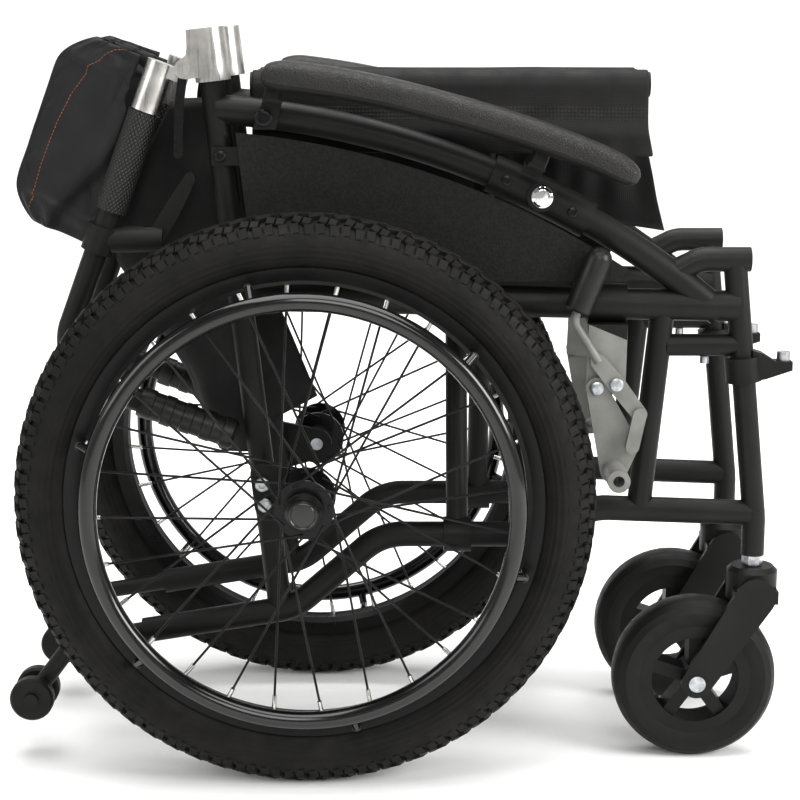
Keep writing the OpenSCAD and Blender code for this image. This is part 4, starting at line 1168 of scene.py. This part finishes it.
def skirt_point(side, k, t, seed):
    """k runs from the post (0) over the rear fold (1) to the middle (2), t from foot to top."""
    corners = []
    for foot, y, line in zip(SKIRT_FOOT, SKIRT_Y, (None, REAR_FOLD, MIDDLE_FOLD)):
        z = foot + (SKIRT_TOP - foot) * t
        x = np.interp(z, *zip(*line)) if line else post_x(z)
        corners.append(np.array((x, y, z)))
    i = min(int(k), 1)
    spot = corners[i] + (corners[i + 1] - corners[i]) * (k - i)
    spot += hump(k, 1, TURN_HALF) * TURN_IN * ((corners[0] + corners[2]) / 2 - corners[1])
    free = min(1, 3 * k) * min(1, 3 * (2 - k))
    sway = noise.noise(Vector((k * OUT_RATE[0], spot[2] * OUT_RATE[1], seed)))
    wander = noise.noise(Vector((k * BACK_RATE[0], spot[2] * BACK_RATE[1], seed + BACK_SEED)))
    spot += free * np.array((SKIRT_BACK * wander, SKIRT_OUT * sway, 0))
    return place(side, *spot)


# %% Lower back cloth
SKIRT_SEEDS = (3.0, 13.0)
SLANT = 1.05

for side, seed in zip(SIDES, SKIRT_SEEDS):
    rows = [[skirt_point(side, 2 * j / SKIRT_COLUMNS, i / SKIRT_ROWS, seed)
             for j in range(SKIRT_COLUMNS + 1)] for i in range(SKIRT_ROWS + 1)]
    skirt = new_piece(side + "_lower_back_cloth", *skin(rows, closed_ring=False), seat_nylon)
    layer = skirt.data.uv_layers.new(name="threads")
    for loop in skirt.data.loops:
        co = skirt.data.vertices[loop.vertex_index].co
        layer.data[loop.index].uv = (co.x * SLANT, co.z)
    thick = skirt.modifiers.new("cloth", "SOLIDIFY")
    thick.thickness = SKIRT_THICK
    thick.offset = 0.0
    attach(skirt, side + "_frame")
    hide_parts("lower_back")
    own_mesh(skirt)

# %% [markdown]
# Orange thread follows the seam of the back's outer leaves in an arc. A stitch is a short
# capsule, and Geometry Nodes lay one every 3.5 mm along a curve that lies on the cloth.

# %% Stitch tree
STITCH_SIZES = {"Pitch": 0.0035, "Thread": 0.00035, "Share": 0.78}

seams, seam_sockets = new_tree("stitch_line", "Line", STITCH_SIZES, "Stitches")
given = add(seams, "NodeGroupInput")
pitch, thread, share = (given.outputs[label] for label in STITCH_SIZES)
line = add(seams, "GeometryNodeMeshToCurve", links={0: given.outputs["Line"]})
even = add(seams, "GeometryNodeResampleCurve", settings={"mode": "LENGTH"},
           links={"Curve": line.outputs[0], "Length": pitch})
long = add(seams, "ShaderNodeMath", settings={"operation": "MULTIPLY"}, links={0: pitch, 1: share})
wide = add(seams, "ShaderNodeMath", settings={"operation": "MULTIPLY"}, values={1: 2.0},
           links={0: thread})
ball = add(seams, "GeometryNodeMeshUVSphere", values={"Segments": 6, "Rings": 5, "Radius": 0.5})
size = add(seams, "ShaderNodeCombineXYZ",
           links={"X": wide.outputs[0], "Y": wide.outputs[0], "Z": long.outputs[0]})
tangent = add(seams, "GeometryNodeInputTangent")
lay = add(seams, "FunctionNodeAlignRotationToVector", settings={"axis": "Z"},
          links={"Vector": tangent.outputs[0]})
placed = add(seams, "GeometryNodeInstanceOnPoints",
             links={"Points": even.outputs[0], "Instance": ball.outputs["Mesh"],
                    "Rotation": lay.outputs[0], "Scale": size.outputs[0]})
end_tree(seams, placed.outputs[0], thread_orange)

# %% Stitched seams
SEAM_S = (0, 11, 33, 58, 86, 112, 131, 150, 166)
SEAM_A = (36, 51, 66, 75, 79.5, 81, 81, 79.5, 75)
SEAM_FROM, SEAM_LONG, SEAM_POINTS = 4, 162, 60
SEAM_LIFT, THREAD_LIFT = 9.0, 0.0003

for side in SIDES:
    half = bpy.data.objects[side + "_back_half"]
    points = []
    for step in range(SEAM_POINTS):
        s = SEAM_FROM + SEAM_LONG * step / (SEAM_POINTS - 1)
        guess = leaf_point(side, s, np.interp(s, SEAM_S, SEAM_A), SEAM_LIFT)
        _, spot, normal, _ = half.closest_point_on_mesh(guess)
        points.append(tuple(spot + normal * THREAD_LIFT))
    path = bpy.data.meshes.new("seam_line")
    path.from_pydata(points, [(i, i + 1) for i in range(SEAM_POINTS - 1)], [])
    stitches = from_tree(side + "_back_stitches", add_object("seam_line", path), seams,
                         seam_sockets, STITCH_SIZES)
    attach(stitches, side + "_outer_leaf")
    print(stitches.name, len(stitches.data.polygons), "faces")

# %% [markdown]
# The studio: a pale floor that curves up into a wall all round, with a light of its own for the
# backdrop, one wide soft light above, one at each side and one behind the camera. The right
# side is lit more, so that black tubes read by their long soft highlights.
# The plain display transform keeps the floor white and the blacks deep, as in a catalogue.

# %% Floor
FLOOR_FLAT, FLOOR_CURVE, FLOOR_UNDER = 3.5, 3.0, 0.0005
FLOOR_STEPS, FLOOR_RING = 24, 60

bpy.context.scene.view_settings.view_transform = "Standard"
floor_paint, tree, shader, at = begin("matt_studio_paint", 0.9)
mottle(tree, shader, at["Object"], "#f3f3f2", "#f8f8f7", size_mm=900)
rows = []
for step in range(FLOOR_STEPS + 1):
    t = step / FLOOR_STEPS
    bend = max(0, t - 0.5) * math.pi
    reach = FLOOR_FLAT * min(1, 2 * t) + FLOOR_CURVE * math.sin(bend)
    height = FLOOR_CURVE * (1 - math.cos(bend)) - FLOOR_UNDER
    turns = [2 * math.pi * k / FLOOR_RING for k in range(FLOOR_RING)]
    rows.append([Vector((reach * math.cos(a), reach * math.sin(a), height)) for a in turns])
floor = new_piece("studio_floor", *skin(rows, capped=False), floor_paint)
floor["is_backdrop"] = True

# %% Lights
SKY_STRENGTH = 0.2
# Name, place, size, power and the point that it looks at.
LIGHTS = (
    ("top_light", (0.1, -0.3, 2.8), 2.6, 95, (0, 0, 0.3)),
    ("left_light", (-2.3, -1.2, 1.5), 1.4, 20, (0, 0, 0.4)),
    ("right_light", (2.3, -1.2, 1.3), 1.2, 60, (0, 0, 0.35)),
    ("front_light", (0.4, -3.2, 2.2), 1.6, 44, (0, 0, 0.3)),
    ("backdrop_light", (0.0, 1.6, 3.4), 3.0, 190, (0, 5.0, 0.6)),
)

world = bpy.data.worlds.new("studio")
bpy.context.scene.world = world
world.use_nodes = True
sky = world.node_tree.nodes["Background"]
sky.inputs["Color"].default_value = (1.0, 1.0, 1.0, 1.0)
sky.inputs["Strength"].default_value = SKY_STRENGTH
for name, where, size, power, aim in LIGHTS:
    glow = bpy.data.lights.new(name, "AREA")
    glow.energy = power
    glow.size = size
    lamp = add_object(name, glow)
    lamp.location = where
    lamp.rotation_euler = (Vector(aim) - Vector(where)).to_track_quat("-Z", "Y").to_euler()
print("lights:", len(LIGHTS))

# %% Size and finish
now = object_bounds()
for label, box in (("CAD box", cad_box), ("visual box", now)):
    print(label, [[round(v, 4) for v in c] for c in box])
